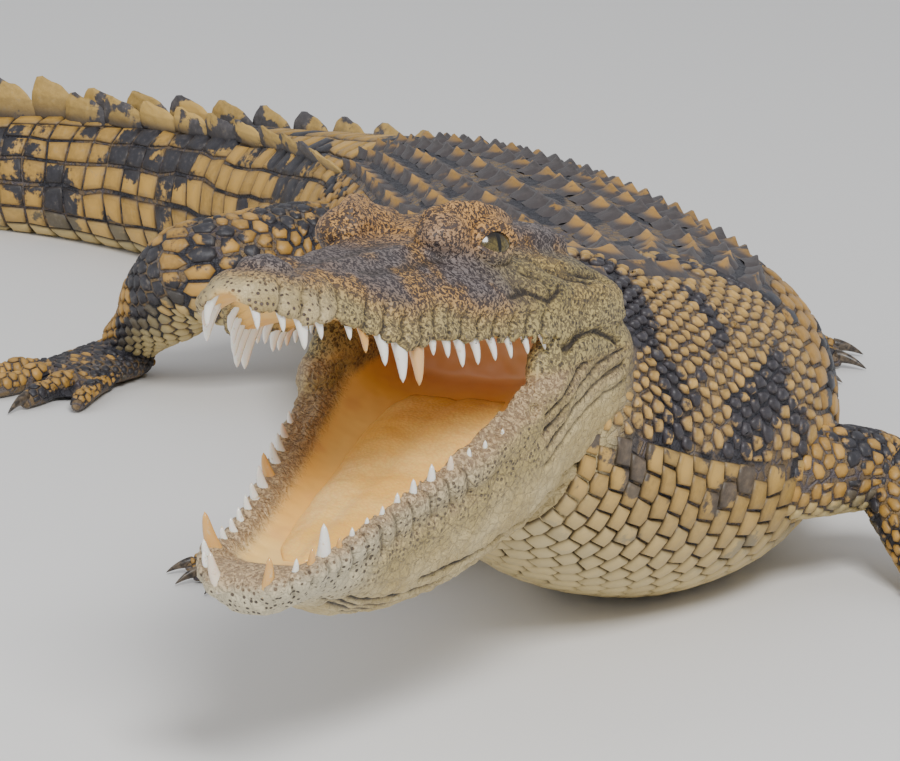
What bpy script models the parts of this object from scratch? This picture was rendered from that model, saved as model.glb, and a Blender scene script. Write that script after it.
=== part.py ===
"""A still, life-size saltwater crocodile: a young adult 2 m long that lies on its belly with its head
raised and its mouth open. Metres, +Z up, the snout points along -Y and the tail runs off along -X."""

import math

import bmesh
import bpy
from mathutils import Matrix, Vector

# Driving dimensions
TOTAL_LENGTH = 2.0
SKULL = TOTAL_LENGTH / 7  # snout tip to the back of the skull table
JAW_HINGE = 1.07  # how far back the jaw joint lies, in skull lengths
HINGE_HEIGHT = 0.181  # the jaw joint above the floor
HEAD_PITCH = math.radians(13.5)  # the snout is raised by this
HEAD_ROLL = math.radians(2.8)  # the head leans to its right by this
GAPE = math.radians(25.5)  # the angle between the jaws
CUT = 0.0003  # the gap between neighbouring nodes
FLOOR = 0.0

# Where the spine turns: distance from the snout tip along the body, and the heading, in degrees
HEADINGS = [
    (0.00, 90), (0.30, 90), (0.40, 95), (0.50, 116), (0.58, 131), (0.68, 134), (0.80, 133), (0.92, 135),
    (1.05, 139), (1.20, 147), (1.35, 161), (1.50, 180), (1.65, 199), (1.80, 214), (2.00, 224),
]
# The trunk and tail: distance, half width, then the heights of the back, of the widest level and of the
# belly. A belly below the floor lies flattened on it.
TRUNK = [
    (0.26, 0.066, 0.216, 0.150, 0.080),
    (0.31, 0.078, 0.222, 0.135, 0.048),
    (0.37, 0.090, 0.213, 0.112, 0.018),
    (0.43, 0.105, 0.199, 0.094, 0.000),
    (0.49, 0.119, 0.187, 0.084, -0.008),
    (0.56, 0.127, 0.180, 0.077, -0.011),
    (0.66, 0.130, 0.177, 0.071, -0.012),
    (0.76, 0.124, 0.173, 0.069, -0.012),
    (0.86, 0.108, 0.166, 0.068, -0.010),
    (0.94, 0.089, 0.157, 0.068, -0.006),
    (1.01, 0.073, 0.146, 0.066, -0.004),
    (1.10, 0.062, 0.131, 0.060, -0.004),
    (1.25, 0.047, 0.108, 0.050, -0.004),
    (1.40, 0.037, 0.092, 0.043, -0.003),
    (1.55, 0.029, 0.077, 0.036, -0.003),
    (1.70, 0.021, 0.061, 0.029, -0.003),
    (1.85, 0.013, 0.044, 0.021, -0.002),
    (1.96, 0.007, 0.027, 0.012, -0.001),
    (2.00, 0.003, 0.016, 0.006, -0.001),
]
# Nodes of the trunk and tail, and where each ends
LENGTHS = [
    ("neck", 0.26, 0.46),
    ("trunk_front", 0.46, 0.64),
    ("trunk_middle", 0.64, 0.82),
    ("trunk_rear", 0.82, 0.99),
    ("tail_base", 0.99, 1.24),
    ("tail_middle", 1.24, 1.50),
    ("tail_rear", 1.50, 1.76),
    ("tail_tip", 1.76, 2.00),
]
# The head, in skull lengths: distance back from the snout tip, half width at the lip, height of the lip
# and height of the midline above the line from the snout tip to the hinge
SNOUT = [
    (0.000, 0.032, 0.020, 0.044),
    (0.020, 0.060, 0.012, 0.064),
    (0.060, 0.086, 0.004, 0.080),
    (0.110, 0.108, -0.004, 0.090),
    (0.150, 0.119, -0.004, 0.092),
    (0.190, 0.120, 0.008, 0.088),
    (0.240, 0.134, -0.010, 0.094),
    (0.310, 0.164, -0.032, 0.104),
    (0.370, 0.182, -0.038, 0.112),
    (0.440, 0.188, -0.014, 0.124),
    (0.540, 0.206, -0.030, 0.144),
    (0.650, 0.230, -0.024, 0.166),
    (0.750, 0.250, -0.012, 0.176),
    (0.850, 0.266, 0.004, 0.176),
    (0.940, 0.276, 0.026, 0.168),
    (1.020, 0.274, 0.030, 0.160),
]
# The lower jaw: distance back from its tip, half width, height of the lip, depth of the chin or throat
# below it, and depth of the floor of the mouth
JAW = [
    (0.000, 0.040, -0.012, 0.044, 0.004),
    (0.020, 0.078, 0.000, 0.072, 0.008),
    (0.060, 0.108, 0.004, 0.088, 0.014),
    (0.110, 0.126, 0.006, 0.096, 0.030),
    (0.170, 0.128, -0.006, 0.120, 0.042),
    (0.260, 0.142, -0.006, 0.184, 0.050),
    (0.380, 0.168, -0.002, 0.242, 0.056),
    (0.500, 0.200, 0.000, 0.274, 0.058),
    (0.620, 0.232, 0.010, 0.296, 0.062),
    (0.720, 0.254, 0.028, 0.316, 0.076),
    (0.780, 0.264, 0.060, 0.348, 0.106),
    (0.840, 0.270, 0.098, 0.386, 0.140),
    (0.920, 0.272, 0.086, 0.376, 0.126),
    (1.000, 0.274, 0.060, 0.350, 0.090),
    (1.140, 0.262, 0.030, 0.310, 0.010),
]


def blend_keys(keys, at):
    """The row of a table of keys at this distance, on a smooth curve through the rows."""
    last = len(keys) - 1
    i = max(0, min(last - 1, sum(1 for row in keys if row[0] <= at) - 1))
    before, start, end, after = keys[max(0, i - 1)], keys[i], keys[i + 1], keys[min(last, i + 2)]
    step = end[0] - start[0]
    t = max(0.0, min(1.0, (at - start[0]) / step))
    found = []
    for k in range(1, len(start)):
        rise = (end[k] - start[k]) / step
        slopes = []
        for a, b in ((before, start), (end, after)):
            other = (b[k] - a[k]) / (b[0] - a[0]) if b[0] > a[0] else rise
            slopes.append(0.0 if other * rise <= 0 else 2 * other * rise / (other + rise))
        p, q = slopes[0] * step, slopes[1] * step
        found.append(
            start[k] * (1 + 2 * t) * (1 - t) ** 2
            + p * t * (1 - t) ** 2
            + end[k] * t * t * (3 - 2 * t)
            + q * t * t * (t - 1)
        )
    return found


def walk_spine(step=0.005):
    """Points along the spine on the floor, from the hinge of the jaw back, each with its heading."""
    places, at = [], JAW_HINGE * SKULL * math.cos(HEAD_PITCH)
    point = Vector((0, 0, 0))
    while at <= TOTAL_LENGTH + step:
        heading = math.radians(blend_keys(HEADINGS, at)[0])
        places.append((at, point.copy(), heading))
        point += Vector((math.cos(heading), math.sin(heading), 0)) * step
        at += step
    return places


SPINE = walk_spine()


def spine_at(distance):
    """The point on the floor below the spine, and the direction to the crocodile's left, at a distance."""
    first, second = SPINE[0], SPINE[1]
    place = (distance - first[0]) / (second[0] - first[0])
    i = max(0, min(len(SPINE) - 2, int(math.floor(place))))
    a, b = SPINE[i], SPINE[i + 1]
    t = place - i
    heading = a[2] + (b[2] - a[2]) * t
    return a[1].lerp(b[1], t), Vector((math.sin(heading), -math.cos(heading), 0))


def body_point(distance, sideways, height):
    """A point by its distance along the body, its way to the left of the spine and its height."""
    point, left = spine_at(distance)
    return point + left * sideways + Vector((0, 0, height))


HEAD_LEAN = Matrix.Rotation(HEAD_ROLL, 3, Vector((0, -math.cos(HEAD_PITCH), math.sin(HEAD_PITCH))))


def head_point(u, v, w, pitch=HEAD_PITCH):
    """A point of the head in skull lengths: back from the snout tip, to the left, and up."""
    forward = Vector((0, -math.cos(pitch), math.sin(pitch)))
    up = Vector((0, math.sin(pitch), math.cos(pitch)))
    offset = (JAW_HINGE - u) * forward + Vector((v, 0, 0)) + w * up
    return Vector((0, 0, HINGE_HEIGHT)) + SKULL * (HEAD_LEAN @ offset)


def rounded(angle, squareness):
    """Cosine and sine of an angle pushed out towards a square: 2 is a circle."""
    c, s = math.cos(angle), math.sin(angle)
    power = 2 / squareness
    return math.copysign(abs(c) ** power, c), math.copysign(abs(s) ** power, s)


def body_ring(distance, sides=20):
    """A cross-section of the trunk or tail, flattened where it lies on the floor."""
    half, top, middle, bottom = blend_keys(TRUNK, distance)
    ring = []
    for k in range(sides):
        c, s = rounded(2 * math.pi * k / sides, 2.25)
        height = middle + s * ((top - middle) if s > 0 else (middle - bottom))
        ring.append(body_point(distance, half * c, max(FLOOR, height)))
    return ring


def snout_ring(u, over=10, under=4):
    """A cross-section of the upper jaw and cranium: a low dome over a hollowed palate."""
    half, lip, top = blend_keys(SNOUT, u)
    ring = []
    for k in range(over + 1):
        c, s = rounded(math.pi * k / over, 2.3)
        ring.append(head_point(u, half * c, lip + (top - lip) * s))
    inner, arch = 0.84 * half, 0.030
    for k in range(under):
        across = -1 + 2 * (k + 0.5) / under
        ring.append(head_point(u, inner * across, lip + 0.006 + arch * (1 - across**2)))
    return ring


def jaw_ring(u, under=10, over=4):
    """A cross-section of the lower jaw: a trough whose inside is the floor of the mouth."""
    half, lip, depth, floor = blend_keys(JAW, u)
    pitch = HEAD_PITCH - GAPE
    ring = []
    for k in range(under + 1):
        c, s = rounded(-math.pi * k / under, 2.2)
        ring.append(head_point(u, half * c, lip + depth * s, pitch))
    inner = 0.82 * half
    for k in range(over):
        across = -1 + 2 * (k + 0.5) / over
        ring.append(head_point(u, inner * across, lip - floor * (1 - across**4) - 0.002, pitch))
    return ring


def collection(name, shown=True):
    made = bpy.data.collections.new(name)
    bpy.context.scene.collection.children.link(made)
    made.hide_render = not shown
    return made


def material(name, colour, roughness):
    made = bpy.data.materials.new(name)
    made.use_nodes = True
    shader = made.node_tree.nodes["Principled BSDF"]
    shader.inputs["Base Color"].default_value = (*colour, 1)
    shader.inputs["Roughness"].default_value = roughness
    return made


def finish_mesh(name, bm, finish, where):
    bmesh.ops.remove_doubles(bm, verts=bm.verts, dist=1e-5)
    bmesh.ops.recalc_face_normals(bm, faces=bm.faces)
    bmesh.ops.triangulate(bm, faces=bm.faces)
    mesh = bpy.data.meshes.new(name)
    bm.to_mesh(mesh)
    bm.free()
    obj = bpy.data.objects.new(name, mesh)
    mesh.materials.append(finish)
    where.objects.link(obj)
    return obj


def add_loft(bm, rings):
    """Skins a run of rings with the same number of points, and closes both ends."""
    rows = [[bm.verts.new(p) for p in ring] for ring in rings]
    count = len(rows[0])
    for a, b in zip(rows, rows[1:]):
        for k in range(count):
            bm.faces.new((a[k], a[(k + 1) % count], b[(k + 1) % count], b[k]))
    bm.faces.new(rows[0][::-1])
    bm.faces.new(rows[-1])


def add_ellipsoid(bm, centre, radii, turn=None, segments=14):
    """A ball squeezed to three radii, turned by a rotation matrix and set at a point."""
    size = Matrix.Diagonal((*radii, 1))
    place = Matrix.Translation(centre) @ (turn or Matrix.Identity(4)) @ size
    bmesh.ops.create_uvsphere(bm, u_segments=segments, v_segments=segments // 2 + 1, radius=1, matrix=place)


def add_spike(bm, root, tip, radius, sides=6):
    """A cone from a root that is sunk in the flesh to a sharp tip."""
    along = tip - root
    turn = along.to_track_quat("Z", "Y").to_matrix().to_4x4()
    place = Matrix.Translation(root.lerp(tip, 0.5)) @ turn
    size = {"radius1": radius, "radius2": radius * 0.12, "depth": along.length}
    bmesh.ops.create_cone(bm, cap_ends=True, segments=sides, matrix=place, **size)


def grown(obj, by, where):
    """A copy of an object swollen by a small gap, to cut its neighbours with."""
    graph = bpy.context.evaluated_depsgraph_get()
    mesh = bpy.data.meshes.new_from_object(obj.evaluated_get(graph))
    mesh.transform(obj.matrix_world)
    bm = bmesh.new()
    bm.from_mesh(mesh)
    bm.normal_update()
    for vert in bm.verts:
        vert.co += vert.normal * (by * min(1.6, vert.calc_shell_factor()))
    bm.to_mesh(mesh)
    bm.free()
    cutter = bpy.data.objects.new("cut_by_" + obj.name, mesh)
    cutter.hide_render = True
    cutter.display_type = "WIRE"
    where.objects.link(cutter)
    return cutter


def combine(obj, other, operation, solver="EXACT"):
    """Joins another mesh to an object, or cuts it away, and keeps only the result."""
    change = obj.modifiers.new(operation.lower(), "BOOLEAN")
    change.operation = operation
    change.object = other
    change.solver = solver
    bpy.context.view_layer.update()
    graph = bpy.context.evaluated_depsgraph_get()
    mesh = bpy.data.meshes.new_from_object(obj.evaluated_get(graph))
    obj.modifiers.clear()
    old = obj.data
    obj.data = mesh
    bpy.data.meshes.remove(old)


def drop(obj):
    mesh = obj.data
    bpy.data.objects.remove(obj)
    bpy.data.meshes.remove(mesh)


for old_object in list(bpy.data.objects):
    bpy.data.objects.remove(old_object)

PARTS = collection("saltwater_crocodile")
CUTTERS = collection("cutters", shown=False)
HIDE = material("hide", (0.33, 0.25, 0.12), 0.6)
BELLY = material("belly_hide", (0.62, 0.55, 0.36), 0.6)
MOUTH = material("mouth_lining", (0.80, 0.48, 0.18), 0.4)
CLAW = material("claw_horn", (0.10, 0.08, 0.06), 0.4)
EYE = material("eye_surface", (0.30, 0.24, 0.08), 0.15)


# ---- trunk and tail ---------------------------------------------------------------------------------

FIRST_WHORL, DOUBLE_END, LAST_WHORL = 1.02, 1.46, 1.985
FIRST_STEP, LAST_STEP = 0.052, 0.018  # from one tail scale to the next, at the hips and at the tip


def whorl_step(distance):
    """How far it is from the tail scale at this distance to the next one."""
    share = (distance - FIRST_WHORL) / (LAST_WHORL - FIRST_WHORL)
    return FIRST_STEP + (LAST_STEP - FIRST_STEP) * share


def crest_blade(bm, distance, sideways, height, length):
    """One upright tail scale: a thin blade that leans back, its root sunk in the tail."""
    half, top, middle, _ = blend_keys(TRUNK, distance)
    base = top - (top - middle) * (1 - math.sqrt(max(0.0, 1 - (sideways / half) ** 2)))
    lean = 0.35 * sideways / height
    corners = [  # along, up, half thickness
        (-0.50, -0.006, 0.0026), (0.50, -0.006, 0.0026), (0.60, 0.62 * height, 0.0014),
        (0.46, height, 0.0009), (0.08, 0.94 * height, 0.0009), (-0.32, 0.42 * height, 0.0016),
    ]
    near, far = [], []
    for along, up, thick in corners:
        aside = sideways + lean * max(0, up) * 0.6
        level = max(base * 0.4, base + up)
        near.append(bm.verts.new(body_point(distance + along * length, aside - thick, level)))
        far.append(bm.verts.new(body_point(distance + along * length, aside + thick, level)))
    bm.faces.new(near)
    bm.faces.new(far[::-1])
    for k in range(len(corners)):
        after = (k + 1) % len(corners)
        bm.faces.new((near[k], far[k], far[after], near[after]))


def whorls():
    """Distance, crest height and sideways place of each upright scale of the tail."""
    found, at = [], FIRST_WHORL
    while at < LAST_WHORL:
        half = blend_keys(TRUNK, at)[0]
        share = (at - FIRST_WHORL) / (DOUBLE_END - FIRST_WHORL)
        if share < 1:
            apart = half * (0.62 - 0.40 * share)
            rise = 0.008 + 0.012 * share
            found += [(at, rise, apart), (at, rise, -apart)]
        else:
            fade = (at - DOUBLE_END) / (LAST_WHORL - DOUBLE_END)
            found.append((at, 0.028 - 0.015 * fade, 0.0))
        at += whorl_step(at)
    return found


def stands_on(distance, start, end):
    """Whether a tail scale at this distance fits on the length between start and end."""
    reach = 0.60 * whorl_step(distance)
    return start + reach <= distance and (distance + reach <= end or end >= TOTAL_LENGTH)


def build_length(name, start, end):
    """One length of neck, trunk or tail, with the upright scales that stand on it."""
    bm = bmesh.new()
    first, last = start + CUT / 2, end - CUT / 2
    if end >= TOTAL_LENGTH:
        last = end
    spacing = 0.034 if end < 1.1 else 0.050
    count = max(3, round((end - start) / spacing))
    sides = 16 if end < 1.3 else 12
    add_loft(bm, [body_ring(first + (last - first) * k / count, sides) for k in range(count + 1)])
    made = finish_mesh(name, bm, HIDE, PARTS)
    blades = [blade for blade in whorls() if stands_on(blade[0], start, end)]
    if blades:
        crest = bmesh.new()
        for at, rise, apart in blades:
            crest_blade(crest, at, apart, rise, 0.84 * whorl_step(at))
        other = finish_mesh("crest_of_" + name, crest, HIDE, CUTTERS)
        combine(made, other, "UNION")
        drop(other)
    return made


BODY = {name: build_length(name, start, end) for name, start, end in LENGTHS}

# ---- head -------------------------------------------------------------------------------------------

EYE_RADIUS = 0.052 * SKULL
EYE_AT = (0.690, 0.131, 0.148)
UPPER_TEETH = [  # back from the snout tip, length, radius, in skull lengths
    (0.020, 0.036, 0.010), (0.062, 0.030, 0.009), (0.102, 0.052, 0.013), (0.140, 0.030, 0.009),
    (0.225, 0.030, 0.009), (0.262, 0.036, 0.010), (0.300, 0.046, 0.012), (0.342, 0.064, 0.015),
    (0.386, 0.070, 0.016), (0.432, 0.036, 0.010), (0.474, 0.034, 0.010), (0.516, 0.040, 0.011),
    (0.560, 0.034, 0.010), (0.604, 0.028, 0.009), (0.650, 0.024, 0.008), (0.696, 0.020, 0.008),
    (0.742, 0.016, 0.007),
]
LOWER_TEETH = [
    (0.014, 0.052, 0.013), (0.046, 0.028, 0.009), (0.078, 0.032, 0.010), (0.114, 0.066, 0.015),
    (0.158, 0.028, 0.009), (0.200, 0.026, 0.009), (0.240, 0.026, 0.009), (0.282, 0.028, 0.009),
    (0.326, 0.032, 0.010), (0.372, 0.040, 0.011), (0.420, 0.042, 0.012), (0.468, 0.036, 0.011),
    (0.514, 0.030, 0.010), (0.560, 0.026, 0.009), (0.606, 0.022, 0.008),
]


def add_teeth(bm, rows, keys, pitch, side, drop_way):
    """Cones set just inside the lip, pointing up or down and a little outwards."""
    for u, length, radius in rows:
        half, lip = blend_keys(keys, u)[:2]
        seat = half - 0.020
        root = head_point(u, side * (seat - 0.003), lip + drop_way * -0.020, pitch)
        tip = head_point(u - 0.004, side * (seat + 0.010), lip + drop_way * length, pitch)
        add_spike(bm, root, tip, radius * SKULL, 5 if length > 0.040 else 4)


def build_head():
    """The cranium and upper jaw with the skull table, eye mounds, nostril mound and upper teeth."""
    bm = bmesh.new()
    stations = [0.0, 0.02, 0.055, 0.10, 0.15, 0.19, 0.24, 0.31]
    stations += [0.38, 0.46, 0.55, 0.65, 0.75, 0.85, 0.94, 1.02]
    add_loft(bm, [snout_ring(u) for u in stations])
    head = finish_mesh("head", bm, HIDE, PARTS)
    tilt = Matrix.Rotation(-HEAD_PITCH, 4, "X")
    extras = bmesh.new()
    table = [(0.64, 0.050, 0.176), (0.72, 0.092, 0.196), (0.82, 0.130, 0.206), (0.92, 0.148, 0.206),
             (1.00, 0.152, 0.200), (1.015, 0.140, 0.186)]
    rings = []
    for u, half, top in table:
        ring = []
        for k in range(12):
            c, s = rounded(2 * math.pi * k / 12, 3.4)
            ring.append(head_point(u, half * c, top - 0.050 + 0.050 * s))
        rings.append(ring)
    add_loft(extras, rings)
    additions = [finish_mesh("skull_table", extras, HIDE, CUTTERS)]
    for side in (-1, 1):
        mound = bmesh.new()
        centre = head_point(0.680, side * 0.106, 0.158)
        size = (0.062 * SKULL, 0.150 * SKULL, 0.060 * SKULL)
        add_ellipsoid(mound, centre, size, tilt, 12)
        additions.append(finish_mesh("eye_mound", mound, HIDE, CUTTERS))
    nose = bmesh.new()
    nose_size = (0.058 * SKULL, 0.052 * SKULL, 0.034 * SKULL)
    add_ellipsoid(nose, head_point(0.125, 0, 0.078), nose_size, tilt, 10)
    additions.append(finish_mesh("nostril_mound", nose, HIDE, CUTTERS))
    teeth = bmesh.new()
    for side in (-1, 1):
        add_teeth(teeth, UPPER_TEETH, SNOUT, HEAD_PITCH, side, -1)
    additions.append(finish_mesh("upper_teeth", teeth, HIDE, CUTTERS))
    for other in additions:
        combine(head, other, "UNION")
        drop(other)
    return head


def build_jaw():
    """The lower jaw with its teeth; its inside is the floor of the mouth."""
    bm = bmesh.new()
    stations = [0.0, 0.02, 0.055, 0.11, 0.17, 0.26, 0.37, 0.50, 0.62, 0.72, 0.78, 0.84, 0.92, 1.02, 1.12]
    add_loft(bm, [jaw_ring(u) for u in stations])
    jaw = finish_mesh("lower_jaw", bm, BELLY, PARTS)
    teeth = bmesh.new()
    for side in (-1, 1):
        add_teeth(teeth, LOWER_TEETH, JAW, HEAD_PITCH - GAPE, side, 1)
    other = finish_mesh("lower_teeth", teeth, HIDE, CUTTERS)
    combine(jaw, other, "UNION")
    drop(other)
    return jaw


def build_tongue():
    """The broad tongue, fixed along the floor of the mouth."""
    pitch = HEAD_PITCH - GAPE
    bm = bmesh.new()
    rings = []
    sections = [(0.20, 0.020, 0.006), (0.24, 0.048, 0.014), (0.34, 0.072, 0.020), (0.50, 0.092, 0.024)]
    sections += [(0.66, 0.112, 0.026), (0.78, 0.120, 0.022), (0.84, 0.110, 0.010)]
    for u, half, rise in sections:
        lip, floor = blend_keys(JAW, u)[1], blend_keys(JAW, u)[3]
        ring = []
        for k in range(12):
            c, s = rounded(2 * math.pi * k / 12, 2.4)
            ring.append(head_point(u, half * c, lip - floor + (rise if s > 0 else 0.016) * s, pitch))
        rings.append(ring)
    add_loft(bm, rings)
    return finish_mesh("tongue", bm, MOUTH, PARTS)


def build_eye(name, side):
    bm = bmesh.new()
    centre = head_point(EYE_AT[0], side * EYE_AT[1], EYE_AT[2])
    add_ellipsoid(bm, centre, (EYE_RADIUS,) * 3, segments=12)
    return finish_mesh(name, bm, EYE, PARTS)


HEAD = build_head()
LOWER_JAW = build_jaw()
TONGUE = build_tongue()
EYES = [build_eye("eye_left", 1), build_eye("eye_right", -1)]
for eye in EYES:
    socket = grown(eye, CUT, CUTTERS)
    combine(HEAD, socket, "DIFFERENCE")
    drop(socket)

# ---- legs -------------------------------------------------------------------------------------------

CLAWS = 3  # only the three inner toes have one


def tube_rings(points, sides=9, level=FLOOR):
    """Rings along a bent limb. Each point is a centre, a half width and a half depth."""
    centres = [p[0] for p in points]
    rings = []
    for i, (centre, wide, deep) in enumerate(points):
        along = (centres[min(i + 1, len(points) - 1)] - centres[max(i - 1, 0)]).normalized()
        flat = Vector((0, 0, 1)) - along * along.z
        if flat.length < 0.2:
            flat = Vector((0, 1, 0)) - along * along.y
        flat.normalize()
        across = along.cross(flat)
        ring = []
        for k in range(sides):
            c, s = rounded(2 * math.pi * k / sides, 2.1)
            point = centre + across * (wide * c) + flat * (deep * s)
            point.z = max(level, point.z)
            ring.append(point)
        rings.append(ring)
    return rings


def limb_node(name, points, finish=HIDE):
    bm = bmesh.new()
    add_loft(bm, tube_rings(points))
    return finish_mesh(name, bm, finish, PARTS)


def toe_points(root, direction, length, radius):
    """A toe from inside the foot to its tip, lying on the floor."""
    tip = root + direction * length
    found = []
    for t, share in ((0.0, 1.05), (0.72, 0.94), (1.0, 0.50)):
        centre = root.lerp(tip, t)
        centre.z = radius * share * (1.0 + 0.25 * math.sin(math.pi * t))
        found.append((centre, radius * share, radius * share))
    return found, tip


def add_web(foot, near, far, forward):
    """The skin between two toes, a thin plate from inside one toe to inside the other."""
    low, high = 0.0022, 0.0050
    across = Vector((forward.y, -forward.x, 0))
    if across.dot(far[0] - near[0]) < 0:
        across = -across
    ends = []
    for toward, (root, direction, reach, radius, _) in ((-1, near), (1, far)):
        start = root + across * (toward * radius * 0.2)
        ends.append((start, start + direction * reach * 0.66))
        hollow = forward * reach * 0.16
    middle = (ends[0][1] + ends[1][1]) / 2 - hollow
    outline = [ends[0][0], ends[0][1], middle, ends[1][1], ends[1][0]]
    sheet = bmesh.new()
    add_loft(sheet, [[Vector((p.x, p.y, level)) for p in outline] for level in (low, high)])
    other = finish_mesh("web", sheet, HIDE, CUTTERS)
    combine(foot, other, "UNION", "MANIFOLD")
    drop(other)


def build_foot(name, wrist, forward, side, length, toes, palm_half, web):
    """A flat palm or sole with its toes and web, and the claws of the three inner toes."""
    across = Vector((forward.y, -forward.x, 0)) * side
    heel = wrist.copy()
    heel.z = 0.011
    knuckles = heel + forward * length * 0.52
    knuckles.z = 0.009
    bm = bmesh.new()
    palm = [
        (heel - forward * 0.010, palm_half * 0.55, 0.009),
        (heel, palm_half * 0.78, 0.013),
        (heel.lerp(knuckles, 0.5), palm_half * 0.95, 0.011),
        (knuckles, palm_half, 0.008),
        (knuckles + forward * 0.006, palm_half * 0.85, 0.006),
    ]
    add_loft(bm, tube_rings(palm, 8, 0.0009))
    foot = finish_mesh(name, bm, HIDE, PARTS)
    count = len(toes)
    toes_made = []
    for i, (share, radius) in enumerate(toes):
        spread = 1 - 2 * i / (count - 1)  # 1 on the inner toe, -1 on the outer
        angle = math.radians(26 if web else 34) * -spread * side
        direction = Matrix.Rotation(-angle, 3, "Z") @ forward
        root = heel.lerp(knuckles, 0.72) - across * (palm_half * 0.74 * spread)
        reach = length * share * 0.62
        points, tip = toe_points(root, direction, reach, radius)
        toe = bmesh.new()
        add_loft(toe, tube_rings(points, 5 if web else 6))
        other = finish_mesh("toe", toe, HIDE, CUTTERS)
        combine(foot, other, "UNION", "MANIFOLD")
        drop(other)
        toes_made.append((root, direction, reach, radius, tip))
    if web:
        for near, far in zip(toes_made, toes_made[1:]):
            add_web(foot, near, far, forward)
    socket = grown(foot, CUT, CUTTERS)
    for i, (_, direction, _, radius, tip) in enumerate(toes_made[:CLAWS]):
        claw = bmesh.new()
        start = tip - direction * 0.004 + Vector((0, 0, radius * 0.70))
        end = start + direction * radius * 2.6
        end.z = FLOOR + 0.0015
        add_spike(claw, start, end, radius * 0.52, 6)
        made = finish_mesh(f"claw_{name}_{i + 1}", claw, CLAW, PARTS)
        combine(made, socket, "DIFFERENCE")
    drop(socket)
    return foot


def build_leg(label, joints, thick, foot_forward, side, foot):
    """Upper leg, lower leg and foot, by the shoulder or hip, the elbow or knee, and the wrist or ankle."""
    upper_name, lower_name, foot_name = label
    root, bend, end = joints
    reach = (bend - root).normalized()
    upper = limb_node(upper_name, [
        (root, thick[0], thick[0] * 0.90),
        (root.lerp(bend, 0.5) + Vector((0, 0, 0.003)), thick[0] * 0.86, thick[0] * 0.80),
        (bend, thick[1] * 1.08, thick[1] * 1.04),
        (bend + reach * thick[1] * 0.65, thick[1] * 0.72, thick[1] * 0.70),
    ])
    lower = limb_node(lower_name, [
        (bend, thick[1] * 0.86, thick[1] * 0.86),
        (bend.lerp(end, 0.45) + Vector((0, 0, 0.003)), thick[1] * 0.92, thick[1] * 0.88),
        (bend.lerp(end, 0.80), thick[2] * 1.08, thick[2] * 0.95),
        (end, thick[2], thick[2] * 0.80),
    ])
    made_foot = build_foot(foot_name, end, foot_forward, side, *foot)
    for cutting in (upper, made_foot):
        cutter = grown(cutting, 2 * CUT, CUTTERS)
        combine(lower, cutter, "DIFFERENCE")
        drop(cutter)
    return upper


# Length, then each toe's share of it and its radius from the inner one out, half width, webbed or not
HAND = (0.078, [(0.86, 0.0058), (1.0, 0.0062), (1.04, 0.0060), (0.96, 0.0050), (0.80, 0.0044)], 0.024, False)
FOOT = (0.112, [(0.86, 0.0076), (1.0, 0.0080), (1.04, 0.0074), (0.90, 0.0062)], 0.030, True)


def horizontal(distance, ahead, outward, side):
    """A unit direction on the floor, from parts along the body towards the head and outwards."""
    _, left = spine_at(distance)
    forward = Vector((left.y, -left.x, 0))
    return (forward * ahead + left * side * outward).normalized()


# Knee and ankle of each hind leg: the left one is drawn up, the right one trails
HIND = {
    "left": ((0.885, 0.140, 0.072), (0.958, 0.165, 0.020), (0.75, 0.75)),
    "right": ((0.940, 0.158, 0.084), (1.030, 0.186, 0.020), (0.55, 0.90)),
}
LEGS = []
for tag, side in (("left", 1), ("right", -1)):
    names = (f"upper_arm_{tag}", f"forearm_{tag}", f"hand_{tag}")
    shoulder, elbow, wrist = (0.448, 0.070, 0.070), (0.492, 0.148, 0.056), (0.462, 0.176, 0.017)
    joints = [body_point(s, side * v, z) for s, v, z in (shoulder, elbow, wrist)]
    ahead = horizontal(0.47, 0.55, 0.85 if side > 0 else 0.35, side)
    LEGS.append(build_leg(names, joints, (0.032, 0.021, 0.015), ahead, side, HAND))
    names = (f"thigh_{tag}", f"shank_{tag}", f"foot_{tag}")
    knee, ankle, way = HIND[tag]
    joints = [body_point(s, side * v, z) for s, v, z in ((0.955, 0.045, 0.074), knee, ankle)]
    ahead = horizontal(0.94, *way, side)
    LEGS.append(build_leg(names, joints, (0.048, 0.032, 0.018), ahead, side, FOOT))

# ---- fitting the nodes to each other ----------------------------------------------------------------

combine(BODY["neck"], grown(LOWER_JAW, 2 * CUT, CUTTERS), "DIFFERENCE")
combine(BODY["neck"], grown(HEAD, 2 * CUT, CUTTERS), "DIFFERENCE")
combine(LOWER_JAW, grown(TONGUE, CUT, CUTTERS), "DIFFERENCE")
combine(LOWER_JAW, grown(HEAD, 2 * CUT, CUTTERS), "DIFFERENCE")
ROOTS = (("neck", "upper_arm"), ("trunk_front", "upper_arm"), ("trunk_rear", "thigh"), ("tail_base", "thigh"))
for piece, limb in ROOTS:
    cutter = grown(BODY[piece], CUT, CUTTERS)
    for leg in LEGS:
        if leg.name.startswith(limb):
            combine(leg, cutter, "DIFFERENCE")
for helper in list(CUTTERS.objects):
    drop(helper)

# ---- the origin: the middle of the footprint, on the floor ------------------------------------------

corners = [vert.co for obj in PARTS.objects for vert in obj.data.vertices]
middle_x = (min(c.x for c in corners) + max(c.x for c in corners)) / 2
middle_y = (min(c.y for c in corners) + max(c.y for c in corners)) / 2
lowest = min(c.z for c in corners)
for obj in PARTS.objects:
    flat = bmesh.new()
    flat.from_mesh(obj.data)
    bmesh.ops.dissolve_limit(flat, angle_limit=math.radians(0.3), verts=flat.verts, edges=flat.edges)
    bmesh.ops.triangulate(flat, faces=flat.faces)
    flat.to_mesh(obj.data)
    flat.free()
    obj.data.transform(Matrix.Translation((-middle_x, -middle_y, -lowest)))
    obj.data.shade_smooth()
    obj.data.set_sharp_from_angle(angle=math.radians(50))
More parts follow.
